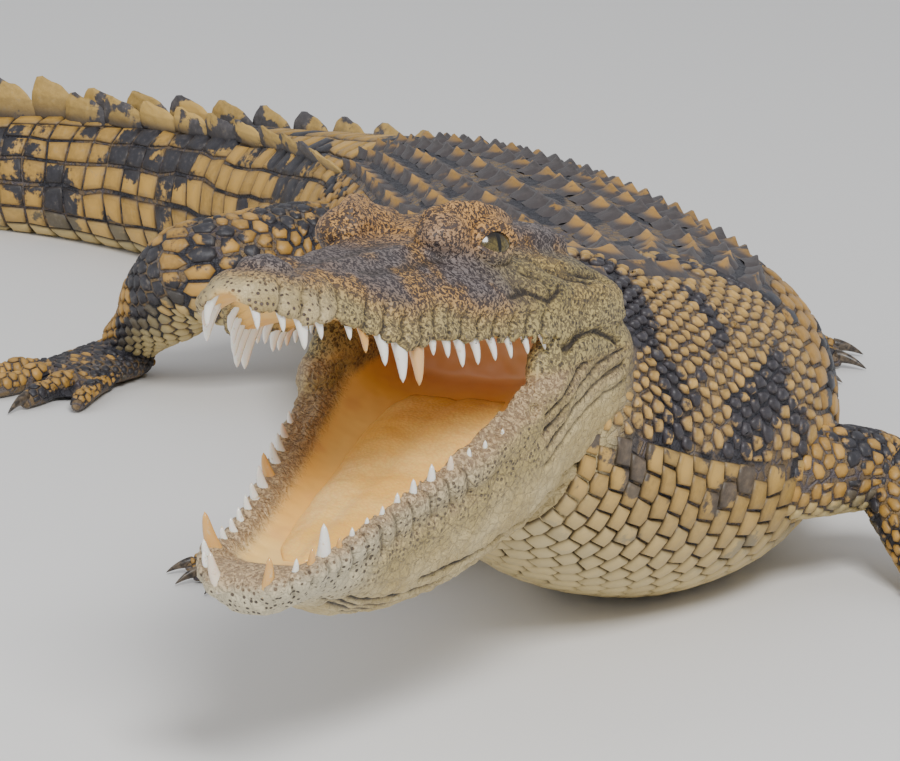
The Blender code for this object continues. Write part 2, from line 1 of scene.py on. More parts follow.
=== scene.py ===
import math
from functools import partial

import bmesh
import bpy
import numpy as np
from mathutils import Matrix, Vector, kdtree, noise


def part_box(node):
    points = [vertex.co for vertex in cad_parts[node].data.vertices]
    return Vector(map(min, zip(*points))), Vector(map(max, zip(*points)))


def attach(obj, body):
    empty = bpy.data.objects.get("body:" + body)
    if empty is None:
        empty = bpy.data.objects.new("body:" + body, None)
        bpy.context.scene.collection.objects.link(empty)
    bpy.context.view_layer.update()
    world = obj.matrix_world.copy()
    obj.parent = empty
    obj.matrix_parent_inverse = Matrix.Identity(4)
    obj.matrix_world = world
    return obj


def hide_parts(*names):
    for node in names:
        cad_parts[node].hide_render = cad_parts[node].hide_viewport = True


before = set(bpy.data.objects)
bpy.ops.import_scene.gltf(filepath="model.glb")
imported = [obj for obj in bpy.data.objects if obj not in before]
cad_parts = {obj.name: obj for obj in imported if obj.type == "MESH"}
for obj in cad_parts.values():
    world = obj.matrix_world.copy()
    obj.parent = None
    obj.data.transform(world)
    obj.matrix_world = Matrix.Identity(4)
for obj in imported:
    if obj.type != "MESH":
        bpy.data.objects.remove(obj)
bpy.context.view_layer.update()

# ---- The skin -----------------------------------------------------------------------------------------
# One hide covers neck, trunk, tail, legs, head and jaws with no seam. It is cast as closed lofts,
# fused into one surface, smoothed, and then worked with folds, ridges and pits.

LENGTH = 2.0
SKULL = LENGTH / 7
JAW_HINGE = 1.07
PITCH = math.radians(13.5)
ROLL = math.radians(2.8)
GAPE = math.radians(25.5)
EYE_SEAT = (0.690, 0.131, 0.148)
SCALE_DEPTH = 0.0026  # the hide of the body lies this far inside the tips of its scales
EYE_RADIUS = 0.052 * SKULL
TAU = 2 * math.pi

HEADINGS = [  # distance along the spine, and the way it runs in degrees
    (0.00, 90), (0.30, 90), (0.40, 95), (0.50, 116), (0.58, 131), (0.68, 134), (0.80, 133), (0.92, 135),
    (1.05, 139), (1.20, 147), (1.35, 161), (1.50, 180), (1.65, 199), (1.80, 214), (2.00, 224),
]
TRUNK = [  # distance along the spine, half width, and the heights of back, sides and belly
    (0.26, 0.066, 0.216, 0.150, 0.080), (0.31, 0.078, 0.222, 0.135, 0.048),
    (0.37, 0.090, 0.213, 0.112, 0.018), (0.43, 0.105, 0.199, 0.094, 0.000),
    (0.49, 0.119, 0.187, 0.084, -0.008), (0.56, 0.127, 0.180, 0.077, -0.011),
    (0.66, 0.130, 0.177, 0.071, -0.012), (0.76, 0.124, 0.173, 0.069, -0.012),
    (0.86, 0.108, 0.166, 0.068, -0.010), (0.94, 0.089, 0.157, 0.068, -0.006),
    (1.01, 0.073, 0.146, 0.066, -0.004), (1.10, 0.062, 0.131, 0.060, -0.004),
    (1.25, 0.047, 0.108, 0.050, -0.004), (1.40, 0.037, 0.092, 0.043, -0.003),
    (1.55, 0.029, 0.077, 0.036, -0.003), (1.70, 0.021, 0.061, 0.029, -0.003),
    (1.85, 0.013, 0.044, 0.021, -0.002), (1.96, 0.007, 0.027, 0.012, -0.001),
    (2.00, 0.003, 0.016, 0.006, -0.001),
]
SNOUT = [  # back from the tip in skull lengths, half width, lip, top
    (0.000, 0.032, 0.020, 0.044), (0.020, 0.060, 0.012, 0.064), (0.060, 0.086, 0.004, 0.080),
    (0.110, 0.108, -0.004, 0.090), (0.150, 0.119, -0.004, 0.092), (0.190, 0.120, 0.008, 0.088),
    (0.240, 0.134, -0.010, 0.094), (0.310, 0.164, -0.032, 0.104), (0.370, 0.182, -0.038, 0.112),
    (0.440, 0.188, -0.014, 0.124), (0.540, 0.206, -0.030, 0.144), (0.650, 0.230, -0.024, 0.166),
    (0.750, 0.250, -0.012, 0.176), (0.850, 0.266, 0.004, 0.176), (0.940, 0.276, 0.026, 0.168),
    (1.020, 0.274, 0.030, 0.160),
]
JAW = [  # back from the tip, half width, lip, depth, and how far the mouth's floor lies below the lip
    (0.000, 0.030, -0.016, 0.034, 0.000), (0.020, 0.078, 0.000, 0.072, -0.006),
    (0.060, 0.108, 0.004, 0.088, -0.004), (0.110, 0.126, 0.006, 0.096, 0.022),
    (0.170, 0.128, -0.006, 0.120, 0.042), (0.260, 0.142, -0.006, 0.184, 0.050),
    (0.380, 0.168, -0.002, 0.242, 0.056), (0.500, 0.200, 0.000, 0.274, 0.058),
    (0.620, 0.232, 0.010, 0.296, 0.062), (0.720, 0.254, 0.028, 0.316, 0.076),
    (0.780, 0.264, 0.060, 0.348, 0.106), (0.840, 0.270, 0.098, 0.386, 0.140),
    (0.920, 0.272, 0.086, 0.376, 0.126), (1.000, 0.272, 0.050, 0.340, 0.080),
    (1.140, 0.236, -0.030, 0.270, 0.010),
]
UPPER_TEETH = [  # back from the snout tip, length, radius
    (0.020, 0.036, 0.010), (0.062, 0.030, 0.009), (0.102, 0.052, 0.013), (0.140, 0.030, 0.009),
    (0.225, 0.030, 0.009), (0.262, 0.036, 0.010), (0.300, 0.046, 0.012), (0.342, 0.064, 0.015),
    (0.386, 0.070, 0.016), (0.432, 0.036, 0.010), (0.474, 0.034, 0.010), (0.516, 0.040, 0.011),
    (0.560, 0.034, 0.010), (0.604, 0.028, 0.009), (0.650, 0.024, 0.008), (0.696, 0.020, 0.008),
    (0.742, 0.016, 0.007),
]
LOWER_TEETH = [
    (0.014, 0.052, 0.013), (0.046, 0.028, 0.009), (0.078, 0.032, 0.010), (0.114, 0.066, 0.015),
    (0.158, 0.028, 0.009), (0.200, 0.026, 0.009), (0.240, 0.026, 0.009), (0.282, 0.028, 0.009),
    (0.326, 0.032, 0.010), (0.372, 0.040, 0.011), (0.420, 0.042, 0.012), (0.468, 0.036, 0.011),
    (0.514, 0.030, 0.010), (0.560, 0.026, 0.009), (0.606, 0.022, 0.008),
]


def read_keys(keys, places):
    """The rows of a table at these places, on smooth curves through its own rows."""
    keys = np.array(keys, float)
    at = keys[:, 0]
    slope = np.diff(keys[:, 1:], axis=0) / np.diff(at)[:, None]
    before = np.vstack([slope[:1], slope])
    after = np.vstack([slope, slope[-1:]])
    product = before * after
    with np.errstate(divide="ignore", invalid="ignore"):
        lean = np.where(product > 0, 2 * product / (before + after), 0.0)
    places = np.clip(np.asarray(places, float), at[0], at[-1])
    i = np.clip(np.searchsorted(at, places, side="right") - 1, 0, len(at) - 2)
    step = (at[i + 1] - at[i])[..., None]
    t = ((places - at[i]) / (at[i + 1] - at[i]))[..., None]
    return (
        keys[i, 1:] * (1 + 2 * t) * (1 - t) ** 2 + lean[i] * step * t * (1 - t) ** 2
        + keys[i + 1, 1:] * t * t * (3 - 2 * t) + lean[i + 1] * step * t * t * (t - 1)
    )


def columns_at(keys, places):
    """The same, as one array for each column of the table."""
    return np.moveaxis(read_keys(keys, places), -1, 0)


def head_axes(pitch):
    """Forward, left and up of a jaw raised by this pitch, leaned with the head."""
    axis = Vector((0, -math.cos(PITCH), math.sin(PITCH)))
    lean = np.array(Matrix.Rotation(ROLL, 3, axis))
    forward = lean @ np.array([0, -math.cos(pitch), math.sin(pitch)])
    up = lean @ np.array([0, math.sin(pitch), math.cos(pitch)])
    return forward, lean @ np.array([1.0, 0, 0]), up


LOW_PITCH = PITCH - GAPE
eye_corners = [np.array(corner) for side in ("left", "right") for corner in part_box("eye_" + side)]
eye_middle = np.mean(eye_corners, axis=0)
forward, left, up = head_axes(PITCH)
HINGE = eye_middle - SKULL * ((JAW_HINGE - EYE_SEAT[0]) * forward + EYE_SEAT[2] * up)


def head_point(u, v, w, pitch=PITCH):
    """Points of a jaw in skull lengths: back from its tip, to the left, and up."""
    forward, left, up = head_axes(pitch)
    u, v, w = (np.asarray(a, float)[..., None] for a in (u, v, w))
    return HINGE + SKULL * ((JAW_HINGE - u) * forward + v * left + w * up)


def head_place(points, pitch=PITCH):
    """The reverse of head_point."""
    forward, left, up = head_axes(pitch)
    offset = (points - HINGE) / SKULL
    return JAW_HINGE - offset @ forward, offset @ left, offset @ up


SPINE_START = JAW_HINGE * SKULL * math.cos(PITCH)
spine_at = np.arange(SPINE_START, LENGTH + 0.010, 0.005)
spine_turn = np.radians(read_keys(HEADINGS, spine_at)[:, 0])
spine_step = 0.005 * np.stack([np.cos(spine_turn), np.sin(spine_turn)], 1)
spine_xy = HINGE[:2] + np.vstack([[0, 0], np.cumsum(spine_step, axis=0)[:-1]])


def body_point(along, sideways, height):
    """Points by their distance along the body, their way to the left of the spine and their height."""
    behind = np.minimum(np.asarray(along, float) - SPINE_START, 0)
    turn = np.interp(along, spine_at, spine_turn)
    x = np.interp(along, spine_at, spine_xy[:, 0]) + sideways * np.sin(turn) + behind * np.cos(turn)
    y = np.interp(along, spine_at, spine_xy[:, 1]) - sideways * np.cos(turn) + behind * np.sin(turn)
    return np.stack([x, y, height + 0 * x], -1)


def squared(turn, power):
    """Cosine and sine of an angle pushed out towards a square; a power of 2 is a circle."""
    c, s = np.cos(turn), np.sin(turn)
    return np.sign(c) * np.abs(c) ** (2 / power), np.sign(s) * np.abs(s) ** (2 / power)


def body_surface(along, turn):
    """The trunk and tail: the distance along it, and the angle from its left side up over the back."""
    half, top, middle, bottom = columns_at(TRUNK, along)
    c, s = squared(turn, 2.25)
    height = middle + s * np.where(s > 0, top - middle, middle - bottom)
    return body_point(along, half * c, np.maximum(0.0, height))


def snout_surface(u, turn):
    """The upper jaw and skull, from the left lip over the top to the right lip and back along the palate."""
    half, lip, top = columns_at(SNOUT, u)
    over = turn < 0.72
    c, s = squared(np.pi * np.clip(turn / 0.72, 0, 1), 2.3)
    across = -0.90 + 1.80 * np.clip((turn - 0.72) / 0.28, 0, 1)
    v = np.where(over, half * c, 0.84 * half * across / 0.90)
    arch = np.minimum(0.034, 0.42 * (top - lip))
    w = np.where(over, lip + (top - lip) * s, lip + 0.006 + arch * (1 - across**2))
    return head_point(u, v, w)


def jaw_surface(u, turn):
    """The lower jaw, from the left lip down round the throat to the right lip and over the mouth's floor."""
    half, lip, depth, floor = columns_at(JAW, u)
    under = turn < 0.72
    c, s = squared(-np.pi * np.clip(turn / 0.72, 0, 1), 2.2)
    across = -1 + 2 * np.clip((turn - 0.72) / 0.28, 0, 1)
    v = np.where(under, half * c, 0.82 * half * across)
    w = np.where(under, lip + depth * s, lip - floor * (1 - across**4) - 0.002)
    return head_point(u, v, w, LOW_PITCH)


def normals_of(surface, along, turn, step=0.002):
    """Unit normals of a closed surface, from the two ways along it, turned away from its far side."""
    a = surface(along + step, turn) - surface(along - step, turn)
    b = surface(along, turn + 5 * step) - surface(along, turn - 5 * step)
    n = np.cross(b, a)
    outward = surface(along, turn) - surface(along, turn + np.pi)
    n *= np.where(np.sum(n * outward, axis=-1, keepdims=True) < 0, -1.0, 1.0)
    return n / np.maximum(np.linalg.norm(n, axis=-1, keepdims=True), 1e-9)


def coordinates(mesh):
    """The points of a mesh, as rows."""
    points = np.empty(3 * len(mesh.vertices), np.float32)
    mesh.vertices.foreach_get("co", points)
    return points.reshape(-1, 3).astype(float)


def set_coordinates(mesh, points):
    mesh.vertices.foreach_set("co", points.astype(np.float32).ravel())
    mesh.update()


def merge(bm, grid):
    """Adds one shape to another and frees it."""
    mesh = bpy.data.meshes.new("part")
    grid.to_mesh(mesh)
    grid.free()
    bm.from_mesh(mesh)
    bpy.data.meshes.remove(mesh)


def add_loft(bm, surface, ends, rows, columns, turns=(0, TAU)):
    """A grid rolled into a closed shape on a surface; its ends are filled."""
    grid = bmesh.new()
    bmesh.ops.create_grid(grid, x_segments=rows, y_segments=columns, size=0.5)
    flat = np.array([v.co for v in grid.verts])
    along = ends[0] + (flat[:, 0] + 0.5) * (ends[1] - ends[0])
    turn = turns[0] + (flat[:, 1] + 0.5) * (turns[1] - turns[0])
    for vert, point in zip(grid.verts, surface(along, turn)):
        vert.co = point
    bmesh.ops.remove_doubles(grid, verts=grid.verts, dist=1e-5)
    bmesh.ops.holes_fill(grid, edges=grid.edges, sides=0)
    bmesh.ops.recalc_face_normals(grid, faces=grid.faces)
    merge(bm, grid)


def add_object(bm, name):
    """An object of its own from a finished shape."""
    mesh = bpy.data.meshes.new(name)
    bm.to_mesh(mesh)
    bm.free()
    mesh.shade_smooth()
    made = bpy.data.objects.new(name, mesh)
    bpy.context.scene.collection.objects.link(made)
    return made


def hide_of_body(along, turn):
    """The trunk and tail less the depth of their scales."""
    points = body_surface(along, turn) - SCALE_DEPTH * normals_of(body_surface, along, turn)
    points[..., 2] = np.maximum(points[..., 2], 0.0004)
    return points


raw = bmesh.new()
add_loft(raw, hide_of_body, (0.262, 1.998), 420, 72)
add_loft(raw, snout_surface, (0.0, 1.02), 150, 120, (0, 1))
add_loft(raw, jaw_surface, (0.0, 1.13), 160, 120, (0, 1))


def skull_table(u, turn):
    """The flat plate between and behind the eyes."""
    rows = [(0.64, 0.050, 0.176), (0.72, 0.092, 0.196), (0.82, 0.130, 0.206), (0.92, 0.148, 0.206),
            (1.00, 0.152, 0.200), (1.015, 0.140, 0.186)]
    half, top = columns_at(rows, u)
    c, s = squared(turn, 3.4)
    return head_point(u, half * c, top - 0.050 + 0.050 * s)


add_loft(raw, skull_table, (0.64, 1.015), 40, 40)


def add_ball(place, pitch, radii, tilt):
    """A ball squeezed to three radii in skull lengths, tilted and set at a place of a jaw."""
    at = Matrix.Translation(Vector(head_point(*place, pitch))) @ Matrix.Rotation(tilt, 4, "X")
    at @= Matrix.Diagonal((*(size * SKULL for size in radii), 1))
    bmesh.ops.create_uvsphere(raw, u_segments=32, v_segments=16, radius=1, matrix=at)


for side in (-1, 1):  # the mound of the eye, and the muscles round the corner of the mouth
    add_ball((0.680, side * 0.106, 0.158), PITCH, (0.062, 0.150, 0.060), -PITCH)
    add_ball((0.862, side * 0.224, -0.040), PITCH, (0.046, 0.125, 0.078), GAPE * 0.8 - PITCH)
    add_ball((0.795, side * 0.232, 0.026), LOW_PITCH, (0.040, 0.090, 0.062), -LOW_PITCH)
    add_ball((1.010, side * 0.212, -0.010), PITCH, (0.050, 0.100, 0.075), -PITCH)
add_ball((0.125, 0, 0.072), PITCH, (0.058, 0.054, 0.037), -PITCH)  # the nostrils


def limb_surface(points, level=0.0006):
    """A bent limb through centres with half widths and half depths; the way along it runs from 0 to 1."""
    centres = np.array([np.array(p[0], float) for p in points])
    run = np.concatenate([[0], np.cumsum(np.linalg.norm(np.diff(centres, axis=0), axis=1))])
    keys = np.column_stack([run / run[-1], centres, [p[1] for p in points], [p[2] for p in points]])

    def surface(t, turn):
        row = read_keys(keys, t)
        centre, wide, deep = row[..., :3], row[..., 3:4], row[..., 4:5]
        ahead = (read_keys(keys, np.minimum(t + 0.02, 1)) - read_keys(keys, np.maximum(t - 0.02, 0)))[..., :3]
        ahead /= np.linalg.norm(ahead, axis=-1, keepdims=True)
        flat = np.array([0, 0, 1.0]) - ahead * ahead[..., 2:3]
        flat /= np.maximum(np.linalg.norm(flat, axis=-1, keepdims=True), 1e-6)
        across = np.cross(ahead, flat)
        c, s = squared(turn, 2.1)
        point = centre + across * wide * c[..., None] + flat * deep * s[..., None]
        point[..., 2] = np.maximum(point[..., 2], level)
        return point

    return surface


def horizontal(along, ahead, outward, side):
    """A level direction, from parts along the body towards the head and outwards."""
    turn = np.interp(along, spine_at, spine_turn)
    left = np.array([math.sin(turn), -math.cos(turn), 0])
    forward = np.array([left[1], -left[0], 0])
    made = forward * ahead + left * side * outward
    return made / np.linalg.norm(made)


# length, the share of it and the radius of each toe, half width of the palm, half fan of the toes, webs
HAND = (0.078, [(0.86, 0.0058), (1.0, 0.0062), (1.04, 0.0060), (0.96, 0.0050), (0.80, 0.0044)],
        0.024, 34, False)
FOOT = (0.112, [(0.86, 0.0076), (1.0, 0.0080), (1.04, 0.0074), (0.90, 0.0062)], 0.030, 26, True)
ARM = ((0.448, 0.070, 0.070), (0.492, 0.148, 0.056), (0.462, 0.176, 0.017))
LIMBS = {  # side; root, bend and wrist or ankle; their thicknesses; the way of the foot; the foot
    "arm_left": (1, ARM, (0.031, 0.020, 0.0145), (0.47, 0.55, 0.85), HAND),
    "arm_right": (-1, ARM, (0.031, 0.020, 0.0145), (0.47, 0.55, 0.35), HAND),
    "leg_left": (1, ((0.955, 0.045, 0.074), (0.885, 0.140, 0.072), (0.958, 0.165, 0.020)),
                 (0.046, 0.031, 0.0175), (0.94, 0.75, 0.75), FOOT),
    "leg_right": (-1, ((0.955, 0.045, 0.074), (0.940, 0.158, 0.084), (1.030, 0.186, 0.020)),
                  (0.046, 0.031, 0.0175), (0.94, 0.55, 0.90), FOOT),
}
TOE = ((0.0, 1.00, 1.00), (0.25, 0.86, 1.15), (0.45, 1.00, 1.30), (0.60, 0.82, 1.05), (0.75, 0.92, 1.05),
       (0.90, 0.72, 0.80), (1.0, 0.50, 0.60))  # the way along a toe, its thickness and height in radii
limb_lines, palm_lines, toe_lines = {}, {}, []
for name, (side, joints, thick, way, (size, toes, palm_half, fan, web)) in LIMBS.items():
    root, bend, end = (body_point(s, side * v, z) for s, v, z in joints)
    limb_lines[name] = limb_surface([
        (root, thick[0], thick[0] * 0.90),
        (root * 0.5 + bend * 0.5 + (0, 0, 0.003), thick[0] * 0.86, thick[0] * 0.82),
        (bend, thick[1] * 1.04, thick[1] * 1.02),
        (bend * 0.55 + end * 0.45 + (0, 0, 0.003), thick[1] * 0.95, thick[1] * 0.90),
        (bend * 0.20 + end * 0.80, thick[2] * 1.10, thick[2] * 0.98),
        (end, thick[2] * 1.02, thick[2] * 0.85),
    ])
    add_loft(raw, limb_lines[name], (0, 1), 70, 40)
    ahead = horizontal(*way, side)
    across = np.array([ahead[1], -ahead[0], 0]) * side
    heel = np.array([end[0], end[1], 0.011])
    knuckles = heel + ahead * size * 0.52 - (0, 0, 0.002)
    palm_lines[name] = limb_surface([
        (heel - ahead * 0.010, palm_half * 0.52, 0.009), (heel, palm_half * 0.74, 0.013),
        (heel * 0.5 + knuckles * 0.5, palm_half * 0.92, 0.0105), (knuckles, palm_half * 0.96, 0.0076),
        (knuckles + ahead * 0.006, palm_half * 0.82, 0.0058)])
    add_loft(raw, palm_lines[name], (0, 1), 30, 40)
    tips = []
    for i, (share, radius) in enumerate(toes):
        spread = 1 - 2 * i / (len(toes) - 1)
        turned = np.array(Matrix.Rotation(math.radians(fan) * spread * side, 3, "Z") @ Vector(ahead))
        start = heel * 0.28 + knuckles * 0.72 - across * (palm_half * 0.74 * spread)
        reach = size * share * 0.62
        line = []
        for t, thickness, height in TOE:
            centre = start + turned * reach * t
            centre[2] = radius * height * 0.95
            line.append((centre, radius * thickness, radius * thickness))
        toe = limb_surface(line)
        add_loft(raw, toe, (0, 1), 30, 16)
        tips.append((start, turned, reach, radius))
        toe_lines.append((i, toe, tips[-1]))
    if web:
        for near, far in zip(tips, tips[1:]):
            corners = [tip[0] + tip[1] * tip[2] * part for tip in (near, far) for part in (0, 0.72)]

            def sheet(t, turn, corners=corners, hollow=near[2] * 0.16, ahead=ahead):
                t = np.asarray(t)[..., None]
                reach = 0.5 + 0.5 * np.cos(turn)[..., None]
                inner = corners[0] * (1 - t) + corners[2] * t
                outer = corners[1] * (1 - t) + corners[3] * t - ahead * hollow * 4 * t * (1 - t)
                point = inner * (1 - reach) + outer * reach
                point[..., 2] = 0.0036 + 0.0019 * np.sin(turn)
                return point

            add_loft(raw, sheet, (0, 1), 12, 24)

skin = add_object(raw, "skin")


def work(kind, chosen=None, **settings):
    """Works the skin with one modifier, on the chosen points where it has any, and settles its mesh."""
    modifier = skin.modifiers.new("work", kind)
    if chosen is not None:
        group = skin.vertex_groups.new(name="chosen")
        group.add([int(i) for i in np.nonzero(chosen)[0]], 1.0, "REPLACE")
        modifier.vertex_group = "chosen"
    for key, value in settings.items():
        setattr(modifier, key, value)
    bpy.context.view_layer.update()
    mesh = bpy.data.meshes.new_from_object(skin.evaluated_get(bpy.context.evaluated_depsgraph_get()))
    skin.modifiers.clear()
    old, skin.data = skin.data, mesh
    skin.vertex_groups.clear()
    bpy.data.meshes.remove(old)


KEPT_FACES = 94000
work("REMESH", mode="VOXEL", voxel_size=0.0019)
u, v, w = head_place(coordinates(skin.data))
work("DECIMATE", (u > 1.08) | (np.abs(v) > 0.40), ratio=KEPT_FACES / len(skin.data.vertices))
work("SMOOTH", factor=0.5, iterations=3)
u, v, w = head_place(coordinates(skin.data))
work("SMOOTH", (u > 1.0) & (u < 1.35), factor=0.5, iterations=14)


class Hide:
    """The skin's points while it is worked: their places in the head's and the lower jaw's frames."""

    def __init__(self, mesh):
        self.mesh = mesh
        self.points = coordinates(mesh)
        self.groove_shading = np.zeros(len(self.points))
        self.read()
        self.jaws = {"top": np.nonzero(self.upper)[0], "low": np.nonzero(self.lower)[0],
                     "both": np.nonzero(self.upper | self.lower)[0]}

    def read(self):
        """Reads the normals and places again after the points have moved."""
        set_coordinates(self.mesh, self.points)
        normals = np.empty(3 * len(self.points), np.float32)
        self.mesh.vertex_normals.foreach_get("vector", normals)
        self.normals = normals.reshape(-1, 3).astype(float)
        self.top = np.stack(head_place(self.points), 1)
        self.low = np.stack(head_place(self.points, LOW_PITCH), 1)
        middle = head_place(self.points, (PITCH + LOW_PITCH) / 2)
        near = (self.top[:, 0] < 1.12) & (np.abs(self.top[:, 1]) < 0.42)
        self.upper = near & (middle[2] > 0)
        self.lower = near & (middle[2] <= 0)

    def push(self, amount):
        """Moves the points out by an amount in skull lengths."""
        self.points += self.normals * (SKULL * amount)[:, None]

    def line(self, jaw, width, height, path, side=False):
        """A ridge, or with a negative height a groove, along a path in a jaw's frame or on its side."""
        weights = np.array([1, 0.15, 1] if side else [1, 1, 1])
        chosen = self.jaws[jaw]
        places = (self.low if jaw == "low" else self.top)[chosen] * weights
        amount = np.zeros(len(places))
        for sign in (-1, 1):
            path_here = np.array(path, float) * (1, sign, 1) * weights
            nearest = np.full(len(places), 9.0)
            for a, b in zip(path_here, path_here[1:]):
                way = b - a
                t = np.clip(((places - a) @ way) / (way @ way), 0, 1)
                nearest = np.minimum(nearest, np.linalg.norm(places - a - t[:, None] * way, axis=1))
            amount = np.maximum(amount, np.exp(-((nearest / width) ** 2)))
        total = np.zeros(len(self.points))
        total[chosen] = amount * height
        # deep grooves are noted here, to be darkened with painted shade in the hide's colour
        if height < -0.005:
            self.groove_shading[chosen] = np.maximum(self.groove_shading[chosen], amount**1.4 * min(1, -height / 0.009))
        self.push(total)

    def bumps(self, jaw, rows):
        """Round bumps, given by their place, radius and height."""
        chosen = self.jaws[jaw]
        places = (self.low if jaw == "low" else self.top)[chosen]
        total = np.zeros(len(self.points))
        for u, v, w, radius, height in rows:
            for sign in (-1, 1):
                far = np.linalg.norm(places - (u, sign * v, w), axis=1)
                total[chosen] += height * np.exp(-((far / radius) ** 2))
        self.push(total)


hide = Hide(skin.data)

# brows, ridges in front of the eyes, the edges of the skull plate, the flaps of the ears and the face
for width, height, path in (
        (0.016, 0.016, [(0.575, 0.082, 0.196), (0.62, 0.104, 0.212), (0.69, 0.124, 0.214),
                        (0.76, 0.138, 0.206)]),
        (0.020, 0.010, [(0.60, 0.070, 0.180), (0.54, 0.062, 0.152), (0.46, 0.056, 0.134),
                        (0.36, 0.050, 0.116),
                        (0.28, 0.046, 0.104)]),
        (0.030, -0.006, [(0.56, 0, 0.150), (0.40, 0, 0.118), (0.24, 0, 0.094)]),
        (0.026, -0.006, [(0.56, 0.120, 0.125), (0.44, 0.110, 0.105), (0.32, 0.090, 0.090)]),
        (0.014, -0.014, [(0.775, 0.150, 0.172), (0.84, 0.166, 0.164), (0.93, 0.172, 0.158)]),
        (0.011, 0.009, [(0.775, 0.140, 0.200), (0.86, 0.154, 0.204), (0.96, 0.160, 0.198)]),
        (0.028, 0.010, [(0.50, 0.186, 0.050), (0.64, 0.222, 0.070), (0.82, 0.258, 0.088),
                        (0.98, 0.268, 0.092)]),
        (0.018, -0.010, [(0.755, 0.140, 0.118), (0.84, 0.200, 0.110), (0.96, 0.240, 0.120)]),
        (0.014, 0.008, [(0.62, 0.120, 0.105), (0.69, 0.165, 0.098), (0.76, 0.172, 0.112)]),
        (0.009, -0.006, [(0.62, 0.128, 0.090), (0.69, 0.180, 0.082), (0.77, 0.188, 0.096)])):
    hide.line("top", width, height, path)
for width, height, path in (
        (0.009, -0.012, [(0.758, 0.172, 0.150), (0.79, 0.182, 0.132), (0.84, 0.206, 0.112),
                         (0.90, 0.236, 0.100)]),
        (0.008, -0.009, [(0.64, 0.196, 0.060), (0.70, 0.216, 0.072), (0.76, 0.232, 0.060),
                         (0.80, 0.240, 0.084)]),
        (0.008, -0.008, [(0.72, 0.190, 0.110), (0.76, 0.206, 0.100), (0.77, 0.222, 0.072)]),
        (0.008, -0.008, [(0.86, 0.220, 0.150), (0.90, 0.240, 0.120), (0.98, 0.255, 0.105)])):
    hide.line("top", width, height, path, side=True)
# the closed corner of the mouth
hide.line("both", 0.008, -0.014, [(0.80, 0.266, -0.022), (0.84, 0.270, 0.004), (0.90, 0.274, 0.012),
                                  (0.96, 0.276, 0.002), (1.00, 0.274, -0.008)], side=True)
# the nostril disc, its rim and the two crescent slits
ring = [(0.128 + 0.062 * math.cos(a), 0.060 * math.sin(a), 0.088) for a in np.linspace(0, TAU, 25)]
hide.line("top", 0.010, -0.007, ring)
hide.read()
hide.line("top", 0.0055, -0.016, [(0.092, 0.030, 0.106), (0.104, 0.022, 0.112), (0.122, 0.020, 0.113),
                                  (0.136, 0.026, 0.110)])
hide.line("top", 0.008, 0.004, [(0.082, 0.024, 0.106), (0.096, 0.012, 0.114), (0.124, 0.009, 0.115)])
# the lips bulge round each tooth, with a groove between one tooth and the next
rows = []
for u, length, radius in UPPER_TEETH:
    half, lip = read_keys(SNOUT, u)[:2]
    rows.append((u, half - 0.004, lip + 0.008, 0.017 + radius * 0.4, 0.004 + 0.50 * radius))
hide.bumps("top", rows)
rows = []
for u, length, radius in LOWER_TEETH:
    half, lip = read_keys(JAW, u)[:2]
    rows.append((u, half - 0.006, lip - 0.012, 0.018 + radius * 0.4, 0.004 + 0.55 * radius))
hide.bumps("low", rows)
for (a, *_), (b, *_) in zip(UPPER_TEETH, UPPER_TEETH[1:]):
    at = (a + b) / 2
    half, lip = read_keys(SNOUT, at)[:2]
    hide.line("top", 0.006, -0.008, [(at - 0.004, half, lip - 0.012), (at + 0.012, half, lip + 0.030),
                                     (at + 0.030, half - 0.01, lip + 0.060)], side=at > 0.15)
for (a, *_), (b, *_) in zip(LOWER_TEETH[:12], LOWER_TEETH[1:]):
    at = (a + b) / 2
    half, lip = read_keys(JAW, at)[:2]
    hide.line("low", 0.007, -0.007, [(at, half - 0.004, lip + 0.004), (at + 0.004, half, lip - 0.030),
                                     (at + 0.012, half - 0.002, lip - 0.054)], side=at > 0.12)
for jaw, keys, end, rise, width in (("top", SNOUT, 0.92, 0.046, 0.012), ("low", JAW, 0.72, -0.056, 0.013)):
    places = np.linspace(0.03, end, 40)
    half, lip = columns_at(keys, places)[:2]
    hide.line(jaw, width, -0.005, list(zip(places, half * 0.985, lip + rise)))
hide.read()


def throat_line(angle, start, end):
    """A line along the lower jaw at one angle round it, in the jaw's frame."""
    places = np.linspace(start, end, 24)
    half, lip, depth, floor = columns_at(JAW, places)
    c, s = squared(np.full(len(places), -math.radians(angle)), 2.2)
    return list(zip(places, half * c, lip + depth * s))


for angle, start in ((44, 0.40), (54, 0.22), (63, 0.16), (71, 0.20), (79, 0.26), (87, 0.30)):
    hide.line("low", 0.009, -0.010, throat_line(angle, start, 1.02))
# folds of the cheek behind the corner of the mouth
hide.line("low", 0.014, 0.008, [(0.70, 0.262, 0.020), (0.76, 0.276, 0.040), (0.82, 0.284, 0.086),
                                (0.90, 0.284, 0.080)])
for level in (0.052, 0.020, -0.014, -0.050):
    hide.line("low", 0.008, -0.009, [(0.72, 0.256, level - 0.045), (0.82, 0.276, level - 0.012),
                                     (0.92, 0.282, level), (1.02, 0.276, level - 0.012)], side=True)
hide.read()

